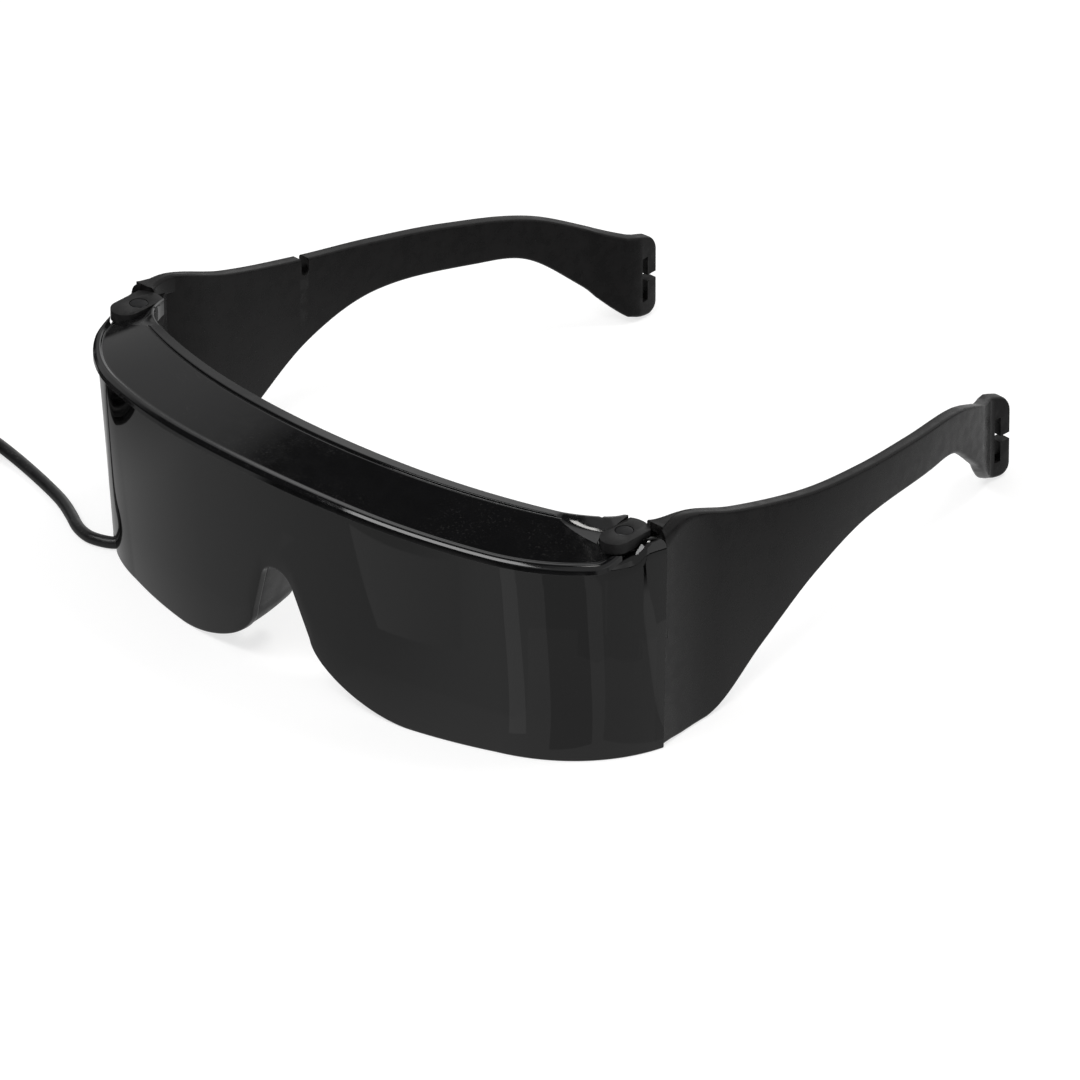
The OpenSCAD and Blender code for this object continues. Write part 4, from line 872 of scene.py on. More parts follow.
def browSpan(u):
    # Start, direction and length across the band, and the heights of its two edges
    b = browShape
    ax, ay = planPoint(rimCurve, u * rimLength)
    bx, by = planPoint(rearCurve, u * rearLength)
    width = math.hypot(bx - ax, by - ay)
    dx, dy = (bx - ax) / width, (by - ay) / width
    curl = curlAt(ay)
    rim = rimHeight(ax) + curl * b["curlUp"]
    rear = rearHeight(bx) - b["beadFall"] * easeIn(by, b["beadFallFrom"], b["beadFallTo"])
    ax, ay = ax + curl * b["curlIn"] * dx, ay + curl * b["curlIn"] * dy
    return ax, ay, dx, dy, math.hypot(bx - ax, by - ay), rim, rear


def browRing(u):
    b = browShape
    ax, ay, dx, dy, width, rim, rear = browSpan(u)
    inside = width - b["wall"]
    section = []
    for part, across, height in (("lip", 0, rim), ("band", width - b["beadWidth"], rear),
                                 ("rear", width, rear)):
        section += [(across + k, height + z) for k, z in b[part]]
    section += [(width, b["skirt"]), (inside, b["skirt"]), (inside, rear - b["roof"])]
    section += [(k, rim + z) for k, z in b["lipInside"]]
    return softenRing([place(ax + dx * k, ay + dy * k, z) for k, z in section], b["rounding"], 4)


def endShelf(side):
    # Behind a ridge near each end the top falls away to the ear, and rises in a hollow to the rear edge
    b, rings = browShape, []
    for k in range(b["shelfRings"] + 1):
        u = b["shelfStart"] + (1 - b["shelfStart"]) * k / b["shelfRings"]
        ax, ay, dx, dy, width, _, rear = browSpan(u)
        section = []
        for i in range(-1, b["shelfSteps"] + 1):
            share = i / b["shelfSteps"]
            reach = width - b["shelfHollow"] + (b["shelfHollow"] - b["shelfRear"]) * share
            if i < 0:
                share, reach = 0, b["shelfRidge"]
            x, y = ax + dx * reach, ay + dy * reach
            height = (b["shelfHeight"] - b["shelfFallX"] * (abs(x) - b["shelfX"])
                      - b["shelfFallY"] * (y - b["shelfFrom"]))
            section.append((x, y, height + max(0, rear - b["shelfBelow"] - height) * share ** 2))
        section += [(*section[i][:2], hingeShape["capTop"]) for i in (-1, 0)]
        rings.append([place(side * x, y, z) for x, y, z in section])
    return loftMesh(rings)


def makeBrow():
    b, h, cutters = browShape, hingeShape, []
    long, deep, tall = b["endBlock"]
    for side in (1, -1):
        cutters += [earCut(gap, side, h["trimmedFront"], low, high) for gap, low, high in b["earCuts"]]
        block = blockMesh((side * (h["x"] + long / 2), b["lipEnd"] + deep / 2, b["endBlockHeight"]),
                          (long, deep, tall))
        cutters += [templeRoom(side, *b["room"]), sweepArc(side, *b["sweep"]), endShelf(side), block]
    mesh = loftMesh([browRing(i / b["steps"]) for i in range(-b["steps"], b["steps"] + 1)])
    return settle("brow_moulding", carve(mesh, cutters), "front", "brow", ["brow_cover"], 18, True)


brow = makeBrow()
print("brow made:", len(brow.data.polygons), "faces")

visorShape = {
    "thickness": 2, "inset": 1, "leanMiddle": 5.5, "leanSide": 1, "notchHeight": 29, "notchRadius": 5,
    "notchShare": 0.94, "notchTurnZ": 14, "notchTurnW": 8.8, "lobeX": 35, "lobePower": 1.7, "steps": 150,
    "evenShare": 0.62, "endGap": 0.15, "topBelow": 1.9, "topRise": 2, "topRiseFrom": 33.4, "topRiseTo": 36.4,
    # The shoulder rolls in under the lip; the foot's points are [height, distance in from the face]
    "shoulder": 4, "shoulderSteps": (1, 0.8, 0.6, 0.45, 0.3, 0.2, 0.1, 0.04, 0.01),
    "foot": [(0.6, 0), (0.3, 0.03), (0.12, 0.14), (0.03, 0.32), (0, 0.6)], "between": (0.25, 0.5, 0.75),
    # What is cut out: room for the knuckle, for the ear, and an arch over the cord
    "roomRadius": 4.2, "room": (23.6, 53.1), "earCut": (0.4, 50.7), "archRadius": 2.2, "archLength": 14,
}


def lowEdge(x):
    # The visor's lower edge: the nose notch, its slanting sides and a round lobe to the table
    t, v = abs(x), visorShape
    radius, x1 = v["notchRadius"], v["notchShare"] * v["notchRadius"]
    top = v["notchHeight"] - radius
    z1 = top + math.sqrt(radius ** 2 - x1 * x1)
    if t <= x1:
        return top + math.sqrt(radius ** 2 - t * t)
    if t <= v["notchTurnW"]:
        return z1 + (v["notchTurnZ"] - z1) * (t - x1) / (v["notchTurnW"] - x1)
    if t < v["lobeX"]:
        k = (v["lobeX"] - t) / (v["lobeX"] - v["notchTurnW"])
        return v["notchTurnZ"] * (1 - (1 - k ** v["lobePower"]) ** (1 / v["lobePower"]))
    return 0.0


def visorTop(s):
    v = visorShape
    x, y = planPoint(rimCurve, s)
    return (rimHeight(x) + curlAt(y) * browShape["curlUp"] - v["topBelow"]
            + v["topRise"] * easeIn(y, v["topRiseFrom"], v["topRiseTo"]))


def visorLean(s):
    turn = math.radians(turnAt(rimCurve, abs(s)))
    return visorShape["leanMiddle"] * math.cos(turn) ** 2 + visorShape["leanSide"] * math.sin(turn) ** 2


def visorPoint(s, z, deep):
    top = visorTop(s)
    t = min(1.0, max(0.0, 1 - (top - z) / visorShape["shoulder"]))
    x, y = planPoint(rimCurve, s)
    off = (visorShape["inset"] + visorLean(s) * (top - z) / top
           + curlAt(y) * browShape["curlIn"] * (1 - math.sqrt(1 - t * t)) + deep)
    nx, ny = planOut(rimCurve, s)
    return place(x - nx * off, y - ny * off, z)


def visorRing(s):
    v = visorShape
    low, top, thick = lowEdge(planPoint(rimCurve, s)[0]), visorTop(s), v["thickness"]
    foot = [(low + z, deep) for z, deep in v["foot"]]
    start, shoulder = low + v["foot"][0][0], v["shoulder"]
    heights = [start + (top - v["foot"][0][0] - shoulder - low) * k for k in v["between"]]
    heights += [top - shoulder * k for k in v["shoulderSteps"]] + [top]
    outer = [visorPoint(s, z, deep) for z, deep in reversed(foot)] + [visorPoint(s, z, 0) for z in heights]
    inner = [visorPoint(s, z, thick) for z in reversed(heights)]
    return outer + inner + [visorPoint(s, z, thick - deep) for z, deep in foot]


def makeVisor():
    v, h, rings, cutters = visorShape, hingeShape, [], []
    for i in range(-v["steps"], v["steps"] + 1):
        u = abs(i) / v["steps"]
        share = v["evenShare"] * u + (1 - v["evenShare"]) * u ** 3
        rings.append(visorRing(math.copysign((rimLength - v["endGap"]) * share, i)))
    gap, low = v["earCut"]
    for side in (1, -1):
        cutters += [prismMesh(circlePoints(side * h["x"], h["y"], v["roomRadius"]), *v["room"]),
                    earCut(gap, side, h["earFront"], low, h["cutTop"])]
    near, here, far = (Vector(cordShape["run"][k]) for k in (3, 4, 5))
    turn, half = math.atan2(far.y - near.y, far.x - near.x), cordShape["diameter"] / 2
    along = Vector((math.cos(turn), math.sin(turn), 0))
    long, radius = v["archLength"], v["archRadius"]
    cutters += [rodMesh(radius, long, place(*(here - long / 2 * along)), along),
                blockMesh((here.x, here.y, here.z - half - 0.01), (long, 2 * radius, 2 * half), turn)]
    return settle("visor_shell", carve(loftMesh(rings), cutters), "front", "visor", ["visor"], sharp=30)


visor = makeVisor()
print("visor made:", len(visor.data.polygons), "faces")

saddleShape = {"halfWidth": 15, "length": 13, "thickness": 1.6, "flare": 1.6, "gap": 0.1, "steps": 70,
               "stepsBack": 8, "flarePower": 1.6, "rounding": [0.3] + [0] * 7 + [0.6, 0.6] + [0] * 7 + [0.3]}


def saddleRing(x):
    # A strip of the wall that goes back from the notch, starting behind the visor's inner face
    s, v, step = saddleShape, visorShape, 0.1
    rise = lowEdge(x + step / 2) - lowEdge(x - step / 2)
    size = math.hypot(step, rise)
    nx, nz, z, top = -rise / size, step / size, lowEdge(x), visorTop(x)
    off = v["inset"] + visorLean(x) * (top - z) / top + v["thickness"]
    front = planPoint(rimCurve, x)[1] - planOut(rimCurve, x)[1] * off + s["gap"]
    # The flare grows towards the face, so that the wall turns out softly
    shares = [k / s["stepsBack"] for k in range(s["stepsBack"] + 1)]
    line = [(front + s["length"] * t, s["flare"] * t ** s["flarePower"]) for t in shares]
    ring = [place(x + nx * grow, y, z + nz * grow) for y, grow in line]
    ring += [place(x + nx * (grow + s["thickness"]), y, z + nz * (grow + s["thickness"]))
             for y, grow in reversed(line)]
    return softenRing(ring, s["rounding"], 3)


def makeSaddle():
    s = saddleShape
    rings = [saddleRing(s["halfWidth"] * i / s["steps"]) for i in range(-s["steps"], s["steps"] + 1)]
    return settle("saddle_wall", loftMesh(rings), "front", "saddle", ["nose_saddle"])


makeSaddle()


# Temples: a tall panel at the seam, a narrow arm and a wide tip that turns inwards
templeShape = {
    "length": 138, "thickness": 3, "outside": 77, "seamOutside": 80.6, "flareLength": 19, "bendRadius": 205,
    "bendFrom": 0.28, "creaseSlope": 0.2, "creaseFrom": 0.9, "flickFrom": 0.957, "flickSlope": 0.72,
    "seamInset": 0.97, "bevel": 0.6, "tipRadius": 2.4, "tipTurns": 9,
    "shoulderWidth": 1.6, "shoulderHeight": 4, "seamY": 41.4, "seamOverlap": 0.2, "steps": 130,
    "rounding": [0.35, 0.5, 0.5, 0.5, 0.4, 0.4, 0.25, 0.25, 0.4, 0.4, 0.4],
    # The shoulder's line: [share of its width, share of its height down, and how much more at the seam]
    "shoulderLine": [(0, 1, 0), (0.12, 0.66, 0), (0.3, 0.4, 0), (0.6, 0.16, 0.04), (1, 0, 0.1)],
    # Upper and lower edge: [share of the length, height]
    "top": [(0, 54.4), (0.06, 53.8), (0.18, 47.6), (0.35, 41.8), (0.5, 38.6), (0.65, 35.6), (0.8, 31.4),
            (0.93, 23.1), (1, 19.5)],
    "low": [(0, 0.5), (0.13, 0.5), (0.24, 10.6), (0.36, 20.4), (0.5, 25.8), (0.7, 23.9), (0.79, 21.4),
            (0.88, 11.5), (0.955, 1.4), (1, 0)],
    "slot": {"back": 3.6, "width": 1.8, "height": 11, "z": 10, "mouth": 1.6},
    "topSlot": {"y": 49, "width": 2.2, "depth": 4, "cutHeight": 8}, "slotReach": 12,
    # The thick upper front end, the knuckle's profile and the web that joins it to the panel
    "cap": {"steps": 22, "length": 17, "height": 4.3, "below": 0.05, "side": 0.8, "round": 0.6,
            "inset": 2.55, "overlap": 0.2, "fullness": 0.8},
    "knuckleRadius": 3.8, "knuckleBore": 1.55, "knuckleBevel": 0.3, "webBelow": 0.05,
    "web": [(-2.6, 2.6), (0.4, 6.4), (3.6, 13), (4.9, 13), (7, 6.2), (4.3, 6.2), (3.2, 2.4), (1.6, 2.2),
            (0, 2.6)],
}


def smoothLine(points, f):
    i = 0
    while i < len(points) - 2 and f >= points[i + 1][0]:
        i += 1

    def slope(k):
        a, b = points[max(k - 1, 0)], points[min(k + 1, len(points) - 1)]
        return (b[1] - a[1]) / (b[0] - a[0])

    width = points[i + 1][0] - points[i][0]
    t = (f - points[i][0]) / width
    return ((2 * t ** 3 - 3 * t * t + 1) * points[i][1] + (t ** 3 - 2 * t * t + t) * width * slope(i)
            + (3 * t * t - 2 * t ** 3) * points[i + 1][1] + (t ** 3 - t * t) * width * slope(i + 1))


def flareAt(f):
    return min(1.0, max(0.0, 1 - f * templeShape["length"] / templeShape["flareLength"])) ** 2


def templeOut(f):
    # How far out the panel's face is at the share f of its length
    t = templeShape
    return (t["outside"] + (t["seamOutside"] - t["outside"]) * flareAt(f)
            - max(0.0, (f - t["bendFrom"]) * t["length"]) ** 2 / (2 * t["bendRadius"])
            - max(0.0, f - t["creaseFrom"]) * t["length"] * t["creaseSlope"]
            + max(0.0, f - t["flickFrom"]) * t["length"] * t["flickSlope"])


def templeTurn(f):
    step = 0.004
    return math.atan2(templeOut(f - step) - templeOut(f + step), 2 * step * templeShape["length"])


def templeRing(f, side):
    t = templeShape
    turn = 0.0 if f <= 0 else templeTurn(f)
    x, y = templeOut(f), t["seamY"] + f * t["length"]
    short = max(0.0, t["tipRadius"] - (1 - f) * t["length"])
    cut = t["tipRadius"] - math.sqrt(max(0.0, t["tipRadius"] ** 2 - short ** 2))
    low, high = max(0.0, smoothLine(t["low"], f)) + cut, smoothLine(t["top"], f) - cut
    b, bevel, thick = flareAt(f), t["bevel"], t["thickness"]
    w, h = bevel + b * t["shoulderWidth"], bevel + b * t["shoulderHeight"]
    section = [(0, low + bevel)]
    section += [(across * w, high - (down + more * b) * h) for across, down, more in t["shoulderLine"]]
    section += [(thick - bevel / 2, high), (thick, high - bevel / 2), (thick, low + bevel),
                (thick - bevel, low), (bevel, low)]
    nx, ny = math.cos(turn), math.sin(turn)

    def inset(z):
        # At the seam the panel lies flush with the leaning visor
        return t["seamInset"] * b * (2 - z / t["top"][0][1])

    ring = [place(side * (x - nx * k - inset(z)), y - ny * k, z) for k, z in section]
    return softenRing(ring, t["rounding"], 2)


def capRing(i, side):
    t, c = templeShape, templeShape["cap"]
    f = (i + 0.05) / c["steps"] * c["length"] / t["length"]
    x, y = templeOut(f) - c["inset"], t["seamY"] + f * t["length"]
    reach, share = hingeShape["x"] + c["side"], math.sin(math.radians(90 * i / c["steps"]))
    inside = reach + (x - c["overlap"] - reach) * share ** c["fullness"]
    high = smoothLine(t["top"], f)
    low, top = high - c["height"], high - c["below"]
    ring = [(x, low), (x, top), (min(inside + c["round"], x - c["below"]), top),
            (inside, high - c["round"]), (inside, low)]
    return softenRing([place(side * a, y, z) for a, z in ring], [0, 0, 0.3, 0.3, 0.3], 3)


def slotCutters(side):
    # The strap slot with its mouth at the tip, and the small slot in the right temple's upper edge
    t, s, top, reach = templeShape, templeShape["slot"], templeShape["topSlot"], templeShape["slotReach"]
    f = 1 - s["back"] / t["length"]
    turn = side * templeTurn(f)
    x, y = side * (templeOut(f) - t["thickness"] / 2), t["seamY"] + f * t["length"]
    away = Matrix.Rotation(turn, 2) @ Vector((0, 1.5 * s["back"]))
    made = [blockMesh((x, y, s["z"]), (reach, s["width"], s["height"]), turn),
            blockMesh((x + away.x, y + away.y, s["z"]), (reach, 3 * s["back"], s["mouth"]), turn)]
    if side < 0:
        z = smoothLine(t["top"], top["y"] / t["length"]) - top["depth"] + top["width"] / 2
        back, tall = planShape["seam"] + top["y"], top["cutHeight"]
        made += [blockMesh((-t["outside"], back, z + tall / 2), (reach, top["width"], tall)),
                 rodMesh(top["width"] / 2, reach, place(-t["outside"] - reach / 2, back, z),
                         Vector((1, 0, 0)), 32)]
    return made


def makeTemple(side, name, body, node):
    t, h = templeShape, hingeShape
    x, y, play = side * h["x"], h["y"], h["washer"] + h["play"]
    low, high = h["lowEar"] + h["earThickness"] + play, h["top"] - h["earThickness"] - play
    reach = 1 - t["tipRadius"] / t["length"]
    shares = [-t["seamOverlap"] / t["length"]] + [reach * k / t["steps"] for k in range(1, t["steps"])]
    shares += [1 - t["tipRadius"] * (1 - math.sin(math.radians(a))) / t["length"]
               for a in range(0, 91, t["tipTurns"])]

    def earRoom():
        return prismMesh(circlePoints(x, y, h["seamRadius"], 96), high, h["capTop"])

    panel = carve(loftMesh([templeRing(f, side) for f in shares]), [earRoom(), *slotCutters(side)])
    cap = carve(loftMesh([capRing(i, side) for i in range(t["cap"]["steps"] + 1)]), [earRoom()])
    bore, bevel, tall = t["knuckleBore"], t["knuckleBevel"], high - low
    wide, slim = t["knuckleRadius"], t["knuckleRadius"] - t["knuckleBevel"]
    knuckle = spunMesh([(0, bore), (0, slim), (bevel, wide), (tall - bevel, wide), (tall, slim), (tall, bore),
                        (0, bore)], place(x, y, low), Vector((0, 0, 1)), 56)
    web = prismMesh(atPin(side, t["web"]), low + t["webBelow"], high - t["webBelow"])
    return settle(name, joinMeshes(panel, cap, knuckle, web), body, "temple", [node])


makeTemple(1, "temple_panel_left", "temple_left", "temple_left")
makeTemple(-1, "temple_panel_right", "temple_right", "temple_right")
print("temples made")


# Hinges, carrier and what it holds: CAD nodes with their corners rounded
def earTrim(side):
    # Takes the foremost part of the upper ear back to a shorter round front
    h = hingeShape
    half, centre = h["earWidth"] / 2, h["earWidth"] / 2 - h["trimmedFront"]
    left, right = h["earShift"] - half - h["trimSide"], h["earShift"] + half + h["trimSide"]
    front = centre - h["trimDepth"]
    ring = [(left, centre), (left, front), (right, front), (right, centre),
            *arcPoints(h["earShift"], centre, half, 0, -math.pi, 24)]
    return prismMesh(atPin(side, ring), h["top"] - h["earThickness"] - h["trimBelow"], h["cutTop"])


for side in ("left", "right"):
    softenNode("hinge_bracket_" + side, "hinge_ears_" + side, "front", "hinge", 0.22,
               trim=[earTrim(1 if side == "left" else -1)])
    softenNode("hinge_pin_" + side, "hinge_rivet_" + side, "front", "pin", 0.38, 4)
    softenNode("hinge_washers_" + side, "hinge_rings_" + side, "front", "washer", 0.08)
    softenNode("shutter_cell_" + side, "shutter_glass_" + side, "front", "cell", 0.15)
    softenNode("cell_gasket_" + side, "gasket_frame_" + side, "front", "gasket", 0.15)
    softenNode("rear_window_" + side, "window_pane_" + side, "front", "window", 0.18)
softenNode("carrier_frame", "carrier_moulding", "front", "carrier", 0.25)
softenNode("driver_board", "board_laminate", "front", "board", 0.08)
softenNode("driver_chip", "board_chip", "front", "chip", 0.1)
softenNode("board_capacitors", "board_cans", "front", "capacitor", 0.25, 3)
softenNode("lead_socket", "board_socket", "front", "socket", 0.15)

insideLead = {"diameter": 2.0, "points": [
    (-22.1, 8.9, 49.8), (-29, 7.6, 49.6), (-36, 8.8, 49.4), (-43, 13.5, 49.2), (-49, 18.6, 49),
    (-52.4, 21.4, 48), (-53.5, 22.8, 45.4), (-53.5, 23.4, 41), (-53.2, 25, 34), (-51.2, 25.2, 26),
    (-50.2, 25.6, 20), (-52, 25.6, 16)]}
settle("lead_inside", leadMesh(smoothPath(insideLead["points"], 6), insideLead["diameter"], "lead", 12),
       "front", "lead", ["inner_lead"], 60)

# The cover screws: sizes in metres, their height, and where they stand along the front
screwShape = {"Head diameter": 0.0032, "Head height": 0.001, "Shank diameter": 0.0016,
              "Shank length": 0.0049, "Cross length": 0.002, "Cross width": 0.00045, "Cross depth": 0.0005}
screwRow = {"low": 44.3, "shares": [-0.78, -0.34, 0.34, 0.78]}


def makeScrewTree():
    # Screws with a cross recess in the head, one on each point of the guide
    tree, g, made = geometryTree("crossScrews", {"Guide": "Object", **dict.fromkeys(screwShape, "Float"),
                                                 "Finish": "Material"})
    guide = addNode(tree, "GeometryNodeObjectInfo", {"Object": g["Guide"]})

    def rod(diameter, length, lift):
        shape = addNode(tree, "GeometryNodeMeshCylinder",
                        {"Vertices": 32, "Radius": times(diameter, 0.5), "Depth": length})
        up = addNode(tree, "ShaderNodeCombineXYZ", {"Z": timesPlus(length, 0.5, lift)})
        return addNode(tree, "GeometryNodeTransform", {"Geometry": shape.outputs[0],
                                                       "Translation": up.outputs[0]}).outputs[0]

    def bar(x, y):
        size = addNode(tree, "ShaderNodeCombineXYZ", {"X": x, "Y": y, "Z": times(g["Cross depth"], 2.0)})
        return addNode(tree, "GeometryNodeMeshCube", {"Size": size.outputs[0]}).outputs[0]

    head = rod(g["Head diameter"], g["Head height"], 0.0)
    cross = addNode(tree, "GeometryNodeMeshBoolean", operation="UNION", solver="EXACT")
    for x, y in ((g["Cross length"], g["Cross width"]), (g["Cross width"], g["Cross length"])):
        tree.links.new(bar(x, y), cross.inputs["Mesh 2"])
    cut = addNode(tree, "GeometryNodeMeshBoolean", {"Mesh 1": head, "Mesh 2": cross.outputs[0]},
                  operation="DIFFERENCE", solver="EXACT")
    both = tree.nodes.new("GeometryNodeJoinGeometry")
    for part in (cut.outputs[0], rod(g["Shank diameter"], g["Shank length"], g["Head height"])):
        tree.links.new(part, both.inputs[0])
    spread = addNode(tree, "GeometryNodeInstanceOnPoints", {"Points": guide.outputs["Geometry"],
                                                            "Instance": both.outputs[0]})
    return endTree(tree, spread.outputs[0], made, g["Finish"])


def makeScrews():
    spots = []
    for u in screwRow["shares"]:
        (ax, ay), (bx, by) = planPoint(rimCurve, u * rimLength), planPoint(rearCurve, u * rearLength)
        spots.append(place((ax + bx) / 2, (ay + by) / 2, screwRow["low"]))
    guideMesh = bpy.data.meshes.new("screwGuide")
    guideMesh.from_pydata(spots, [], [])
    guide = newObject("screwGuide", guideMesh)
    mesh = runTree(makeScrewTree(), {"Guide": guide, **screwShape, "Finish": finishes["screw"]})
    bpy.data.objects.remove(guide)
    return settle("cover_screw_set", mesh, "front", "screw", ["cover_screws"])


makeScrews()
print("hinges, carrier, board and screws made")

# Nodes whose CAD shape is right keep it and get their finish
keptNodes = {"front_film_left": "film", "front_film_right": "film", "rear_film_left": "film",
             "rear_film_right": "film", "flex_tail_left": "flex", "flex_tail_right": "flex"}
for node, slot in keptNodes.items():
    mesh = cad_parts[node].data
    mesh.materials.clear()
    mesh.materials.append(finishes[slot])


# Stage: a white table that keeps the shadow, a white surround and soft lamps
studio = {
    "surround": 0.5, "floor": 0.4, "floorSize": 12.0, "floorGlow": 0.7, "floorGloss": 0.1, "floorRough": 0.9,
    "floorBelow": 0.00002, "cardLift": 0.0001,
    "lamps": [("overhead", (0.5, 0.5, 1.9), (0.5, 0.5), 10, (1, 0.985, 0.96)),
              ("frontStrip", (0.02, -1.0, 1.5), (1.6, 0.45), 15, (1, 1, 1))],
    # Cards on the table that only reflections see: corners in millimetres and how bright each is
    "cards": [([(66, -72), (112, -140), (144, -106), (76, -66)], 0.44),
              ([(79, -64), (150, -88), (158, -44), (82, -46)], 0.51),
              ([(57, -80), (66, -142), (80, -139), (62, -79)], 0.8),
              ([(-13, -136), (41, -137), (43, -108), (13, -109)], 0.52),
              ([(126, -36), (600, -110), (600, 400), (126, 250)], 0.55),
              ([(150, -88), (900, -1100), (1500, -300), (604, -112), (158, -44)], 0.5)],
}
# What shiny parts see of the table: a pool of light about a line. A range is [from, to, level before,
# level after], in metres along X or Y, or away from the line.
poolShape = {"startX": 0.02, "startY": -0.04, "endY": 0.15, "edge": (0.121, 0.138, 0.69, 0.03),
             "wideRight": (-0.12, -0.05, 0.12, 0.0), "dimFront": (0.005, 0.062, 0.56, 0.88),
             "frontEnd": (-0.062, -0.042), "dimFarRight": (-0.125, -0.085, 0.58, 1.0),
             "farBehind": (0.25, 0.5, 0.0, 0.2), "farRight": (-0.3, -0.1, 1.0, 0.0)}
# And of the room: a dark tent, with ranges as above in shares of its radius
tentShape = {"radius": 9.0, "slant": -0.5, "dark": 0.03,
             "wall": (0.45, 0.55, 0.45, 0.4), "wallTop": (0.57, 0.61, 1.0, 0.0), "wallFoot": (-0.05, 0.1),
             "footBehind": (0.38, 0.52, 0.0, 0.6), "lowered": (-0.15, 0.05, 0.0, 0.15),
             "bright": (0.40, 0.47, 1.0, 0.0), "brightFrom": (-0.64, -0.60), "behind": (-0.3, -0.1),
             "left": (0.3, 0.5, 0.0, 0.5)}


def glowing(tree, level):
    return addNode(tree, "ShaderNodeEmission", {"Color": (1, 1, 1, 1), "Strength": level}).outputs[0]


def lightPath(tree):
    # The path's outputs, and where the camera, gloss or glass sees the thing itself
    seen = addNode(tree, "ShaderNodeLightPath").outputs
    return seen, larger(seen["Is Camera Ray"], larger(seen["Is Glossy Ray"], seen["Is Transmission Ray"]))


def poolLevel(tree):
    p = poolShape
    spot = partsOf(objectSpot(tree))
    x, y = spot["X"], spot["Y"]
    nearest = addNode(tree, "ShaderNodeClamp", {"Value": y, "Min": p["startY"], "Max": p["endY"]}).outputs[0]
    off = addNode(tree, "ShaderNodeCombineXYZ", {"X": minus(x, p["startX"]), "Y": minus(y, nearest)})
    away = addNode(tree, "ShaderNodeVectorMath", {0: off.outputs[0]}, operation="LENGTH").outputs["Value"]
    level = smoothRange(minus(away, smoothRange(x, *p["wideRight"])), *p["edge"])
    # The pool is dim in front, most on the wearer's right, and far out on that side; behind it is full
    share = times(larger(smoothRange(x, *p["dimFront"]), smoothRange(y, *p["frontEnd"])),
                  smoothRange(x, *p["dimFarRight"]))
    farBehind = times(smoothRange(y, *p["farBehind"]), smoothRange(x, *p["farRight"]))
    return larger(times(level, share), farBehind)


def makeStage():
    half = studio["floorSize"] / 2
    corners = ((-half, -half), (half, -half), (half, half), (-half, half))

    def build(bm):
        bm.faces.new([bm.verts.new((x, y, -studio["floorBelow"])) for x, y in corners])
    mesh = meshFrom(build)
    tableTop = newObject("table", mesh)
    material, tree = newMaterial("whiteTable")
    shader = tree.nodes["Principled BSDF"]
    for label, value in (("Base Color", (studio["floor"],) * 3 + (1,)), ("Roughness", studio["floorRough"]),
                         ("Specular IOR Level", studio["floorGloss"])):
        shader.inputs[label].default_value = value
    seen, shown = lightPath(tree)
    both = addNode(tree, "ShaderNodeAddShader", {0: shader.outputs[0],
                                                 1: glowing(tree, times(shown, studio["floorGlow"]))})
    table = addNode(tree, "ShaderNodeMixShader", {0: seen["Is Glossy Ray"], 1: both.outputs[0],
                                                  2: glowing(tree, poolLevel(tree))})
    tree.links.new(table.outputs[0], tree.nodes["Material Output"].inputs["Surface"])
    mesh.materials.append(material)


def onlyReflected(name, mesh, materialName, levelOf):
    # A thing that only reflections see, and that glows by levelOf(tree)
    made = newObject(name, mesh)
    for seen in ("camera", "diffuse", "transmission", "shadow", "volume_scatter"):
        setattr(made, "visible_" + seen, False)
    material, tree = newMaterial(materialName)
    tree.links.new(glowing(tree, levelOf(tree)), tree.nodes["Material Output"].inputs["Surface"])
    mesh.materials.append(material)
    return made


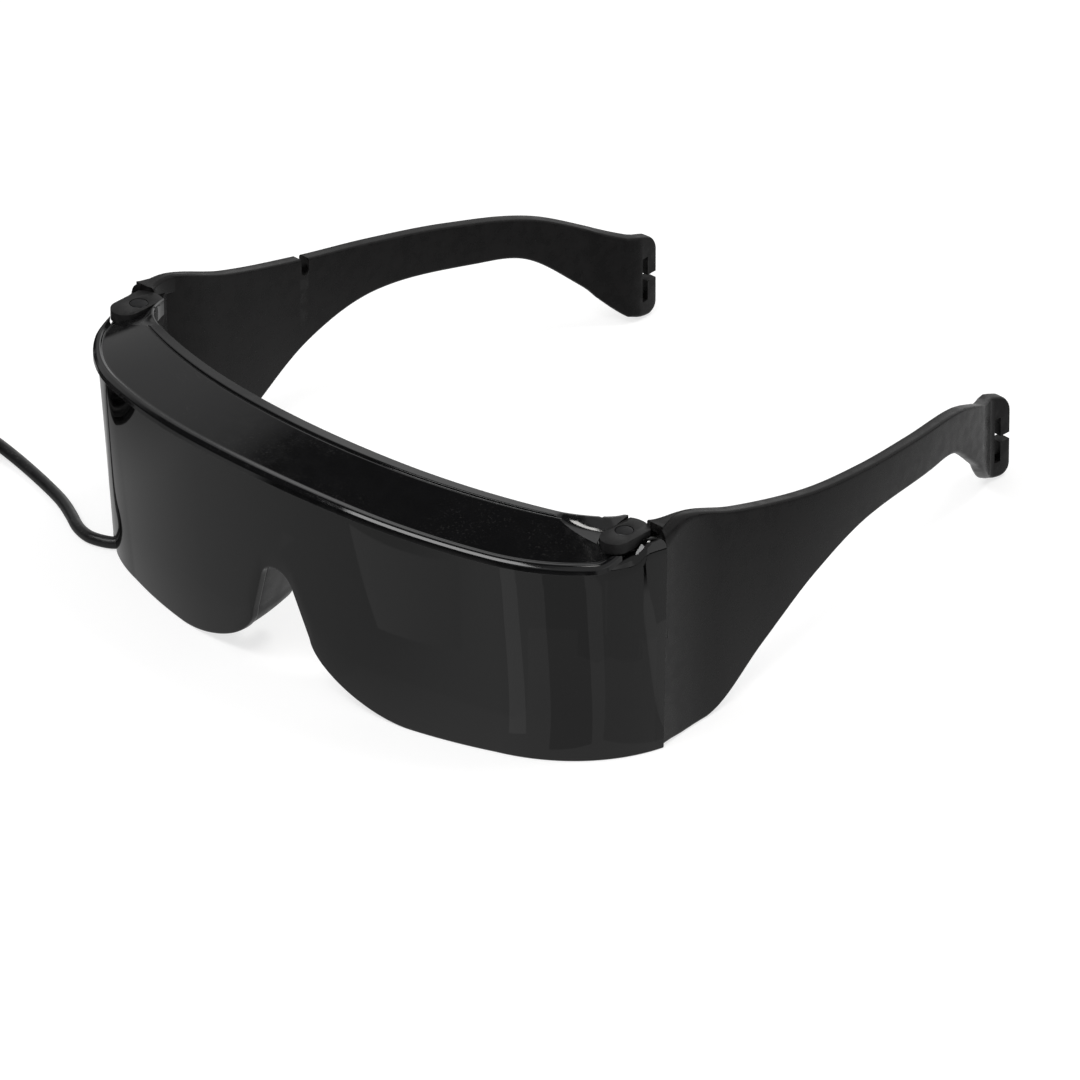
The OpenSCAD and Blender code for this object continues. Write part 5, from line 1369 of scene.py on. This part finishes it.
def tentLevel(tree):
    t = tentShape
    spot = partsOf(objectSpot(tree))
    sideways, behind, height = (calc("DIVIDE", spot[axis], t["radius"]) for axis in "XYZ")
    rise = timesPlus(behind, t["slant"], height)
    # A grey wall at the side, and the bright one behind, which reaches higher on the wearer's left
    foot = larger(smoothRange(rise, *t["wallFoot"]), smoothRange(behind, *t["footBehind"]))
    wall = times(smoothRange(rise, *t["wall"]), smoothRange(rise, *t["wallTop"]), foot)
    lowered = minus(rise, smoothRange(sideways, *t["lowered"]))
    bright = times(smoothRange(lowered, *t["bright"]), smoothRange(sideways, *t["brightFrom"]))
    lit = times(larger(wall, bright), smoothRange(behind, *t["behind"]))
    return plus(larger(lit, smoothRange(sideways, *t["left"])), t["dark"])


def makeTent():
    # A dark tent over the table, which only reflections see: black plastic shows what stands round it
    def build(bm):
        bmesh.ops.create_uvsphere(bm, u_segments=48, v_segments=24, radius=tentShape["radius"])
        low = [v for v in bm.verts if v.co.z < -0.01]
        bmesh.ops.delete(bm, geom=low, context="VERTS")
    tent = onlyReflected("darkTent", meshFrom(build), "darkCloth", tentLevel)


def makeCards():
    # The visor shows these as soft upright bands and a pane
    for i, (corners, level) in enumerate(studio["cards"]):
        def build(bm):
            bm.faces.new([bm.verts.new((x / 1000, y / 1000, studio["cardLift"])) for x, y in corners])
        card = onlyReflected("card" + str(i), meshFrom(build), "cardWhite" + str(i), lambda tree: level)


def makeSurround():
    world = bpy.data.worlds.new("whiteSurround")
    scene.world = world
    world.use_nodes = True
    tree = world.node_tree
    tree.nodes.clear()
    soft, white = (addNode(tree, "ShaderNodeBackground", {"Color": (1, 1, 1, 1), "Strength": level})
                   for level in (studio["surround"], 1.0))
    mixed = addNode(tree, "ShaderNodeMixShader", {0: lightPath(tree)[1], 1: soft.outputs[0],
                                                  2: white.outputs[0]})
    output = addNode(tree, "ShaderNodeOutputWorld")
    tree.links.new(mixed.outputs[0], output.inputs["Surface"])


def makeLamp(name, spot, size, power, colour):
    # Every lamp looks at the middle of the object's place on the table
    data = bpy.data.lights.new(name, "AREA")
    data.shape, data.size, data.size_y = "RECTANGLE", *size
    data.energy, data.color = power, colour
    lamp = newObject(name, data)
    lamp.location = spot
    lamp.rotation_mode = "QUATERNION"
    lamp.rotation_quaternion = (-Vector(spot)).to_track_quat("-Z", "Y")


makeStage()
makeTent()
makeCards()
makeSurround()
for lampShape in studio["lamps"]:
    makeLamp(*lampShape)
scene.view_settings.view_transform = "Standard"
print("stage and lamps made")
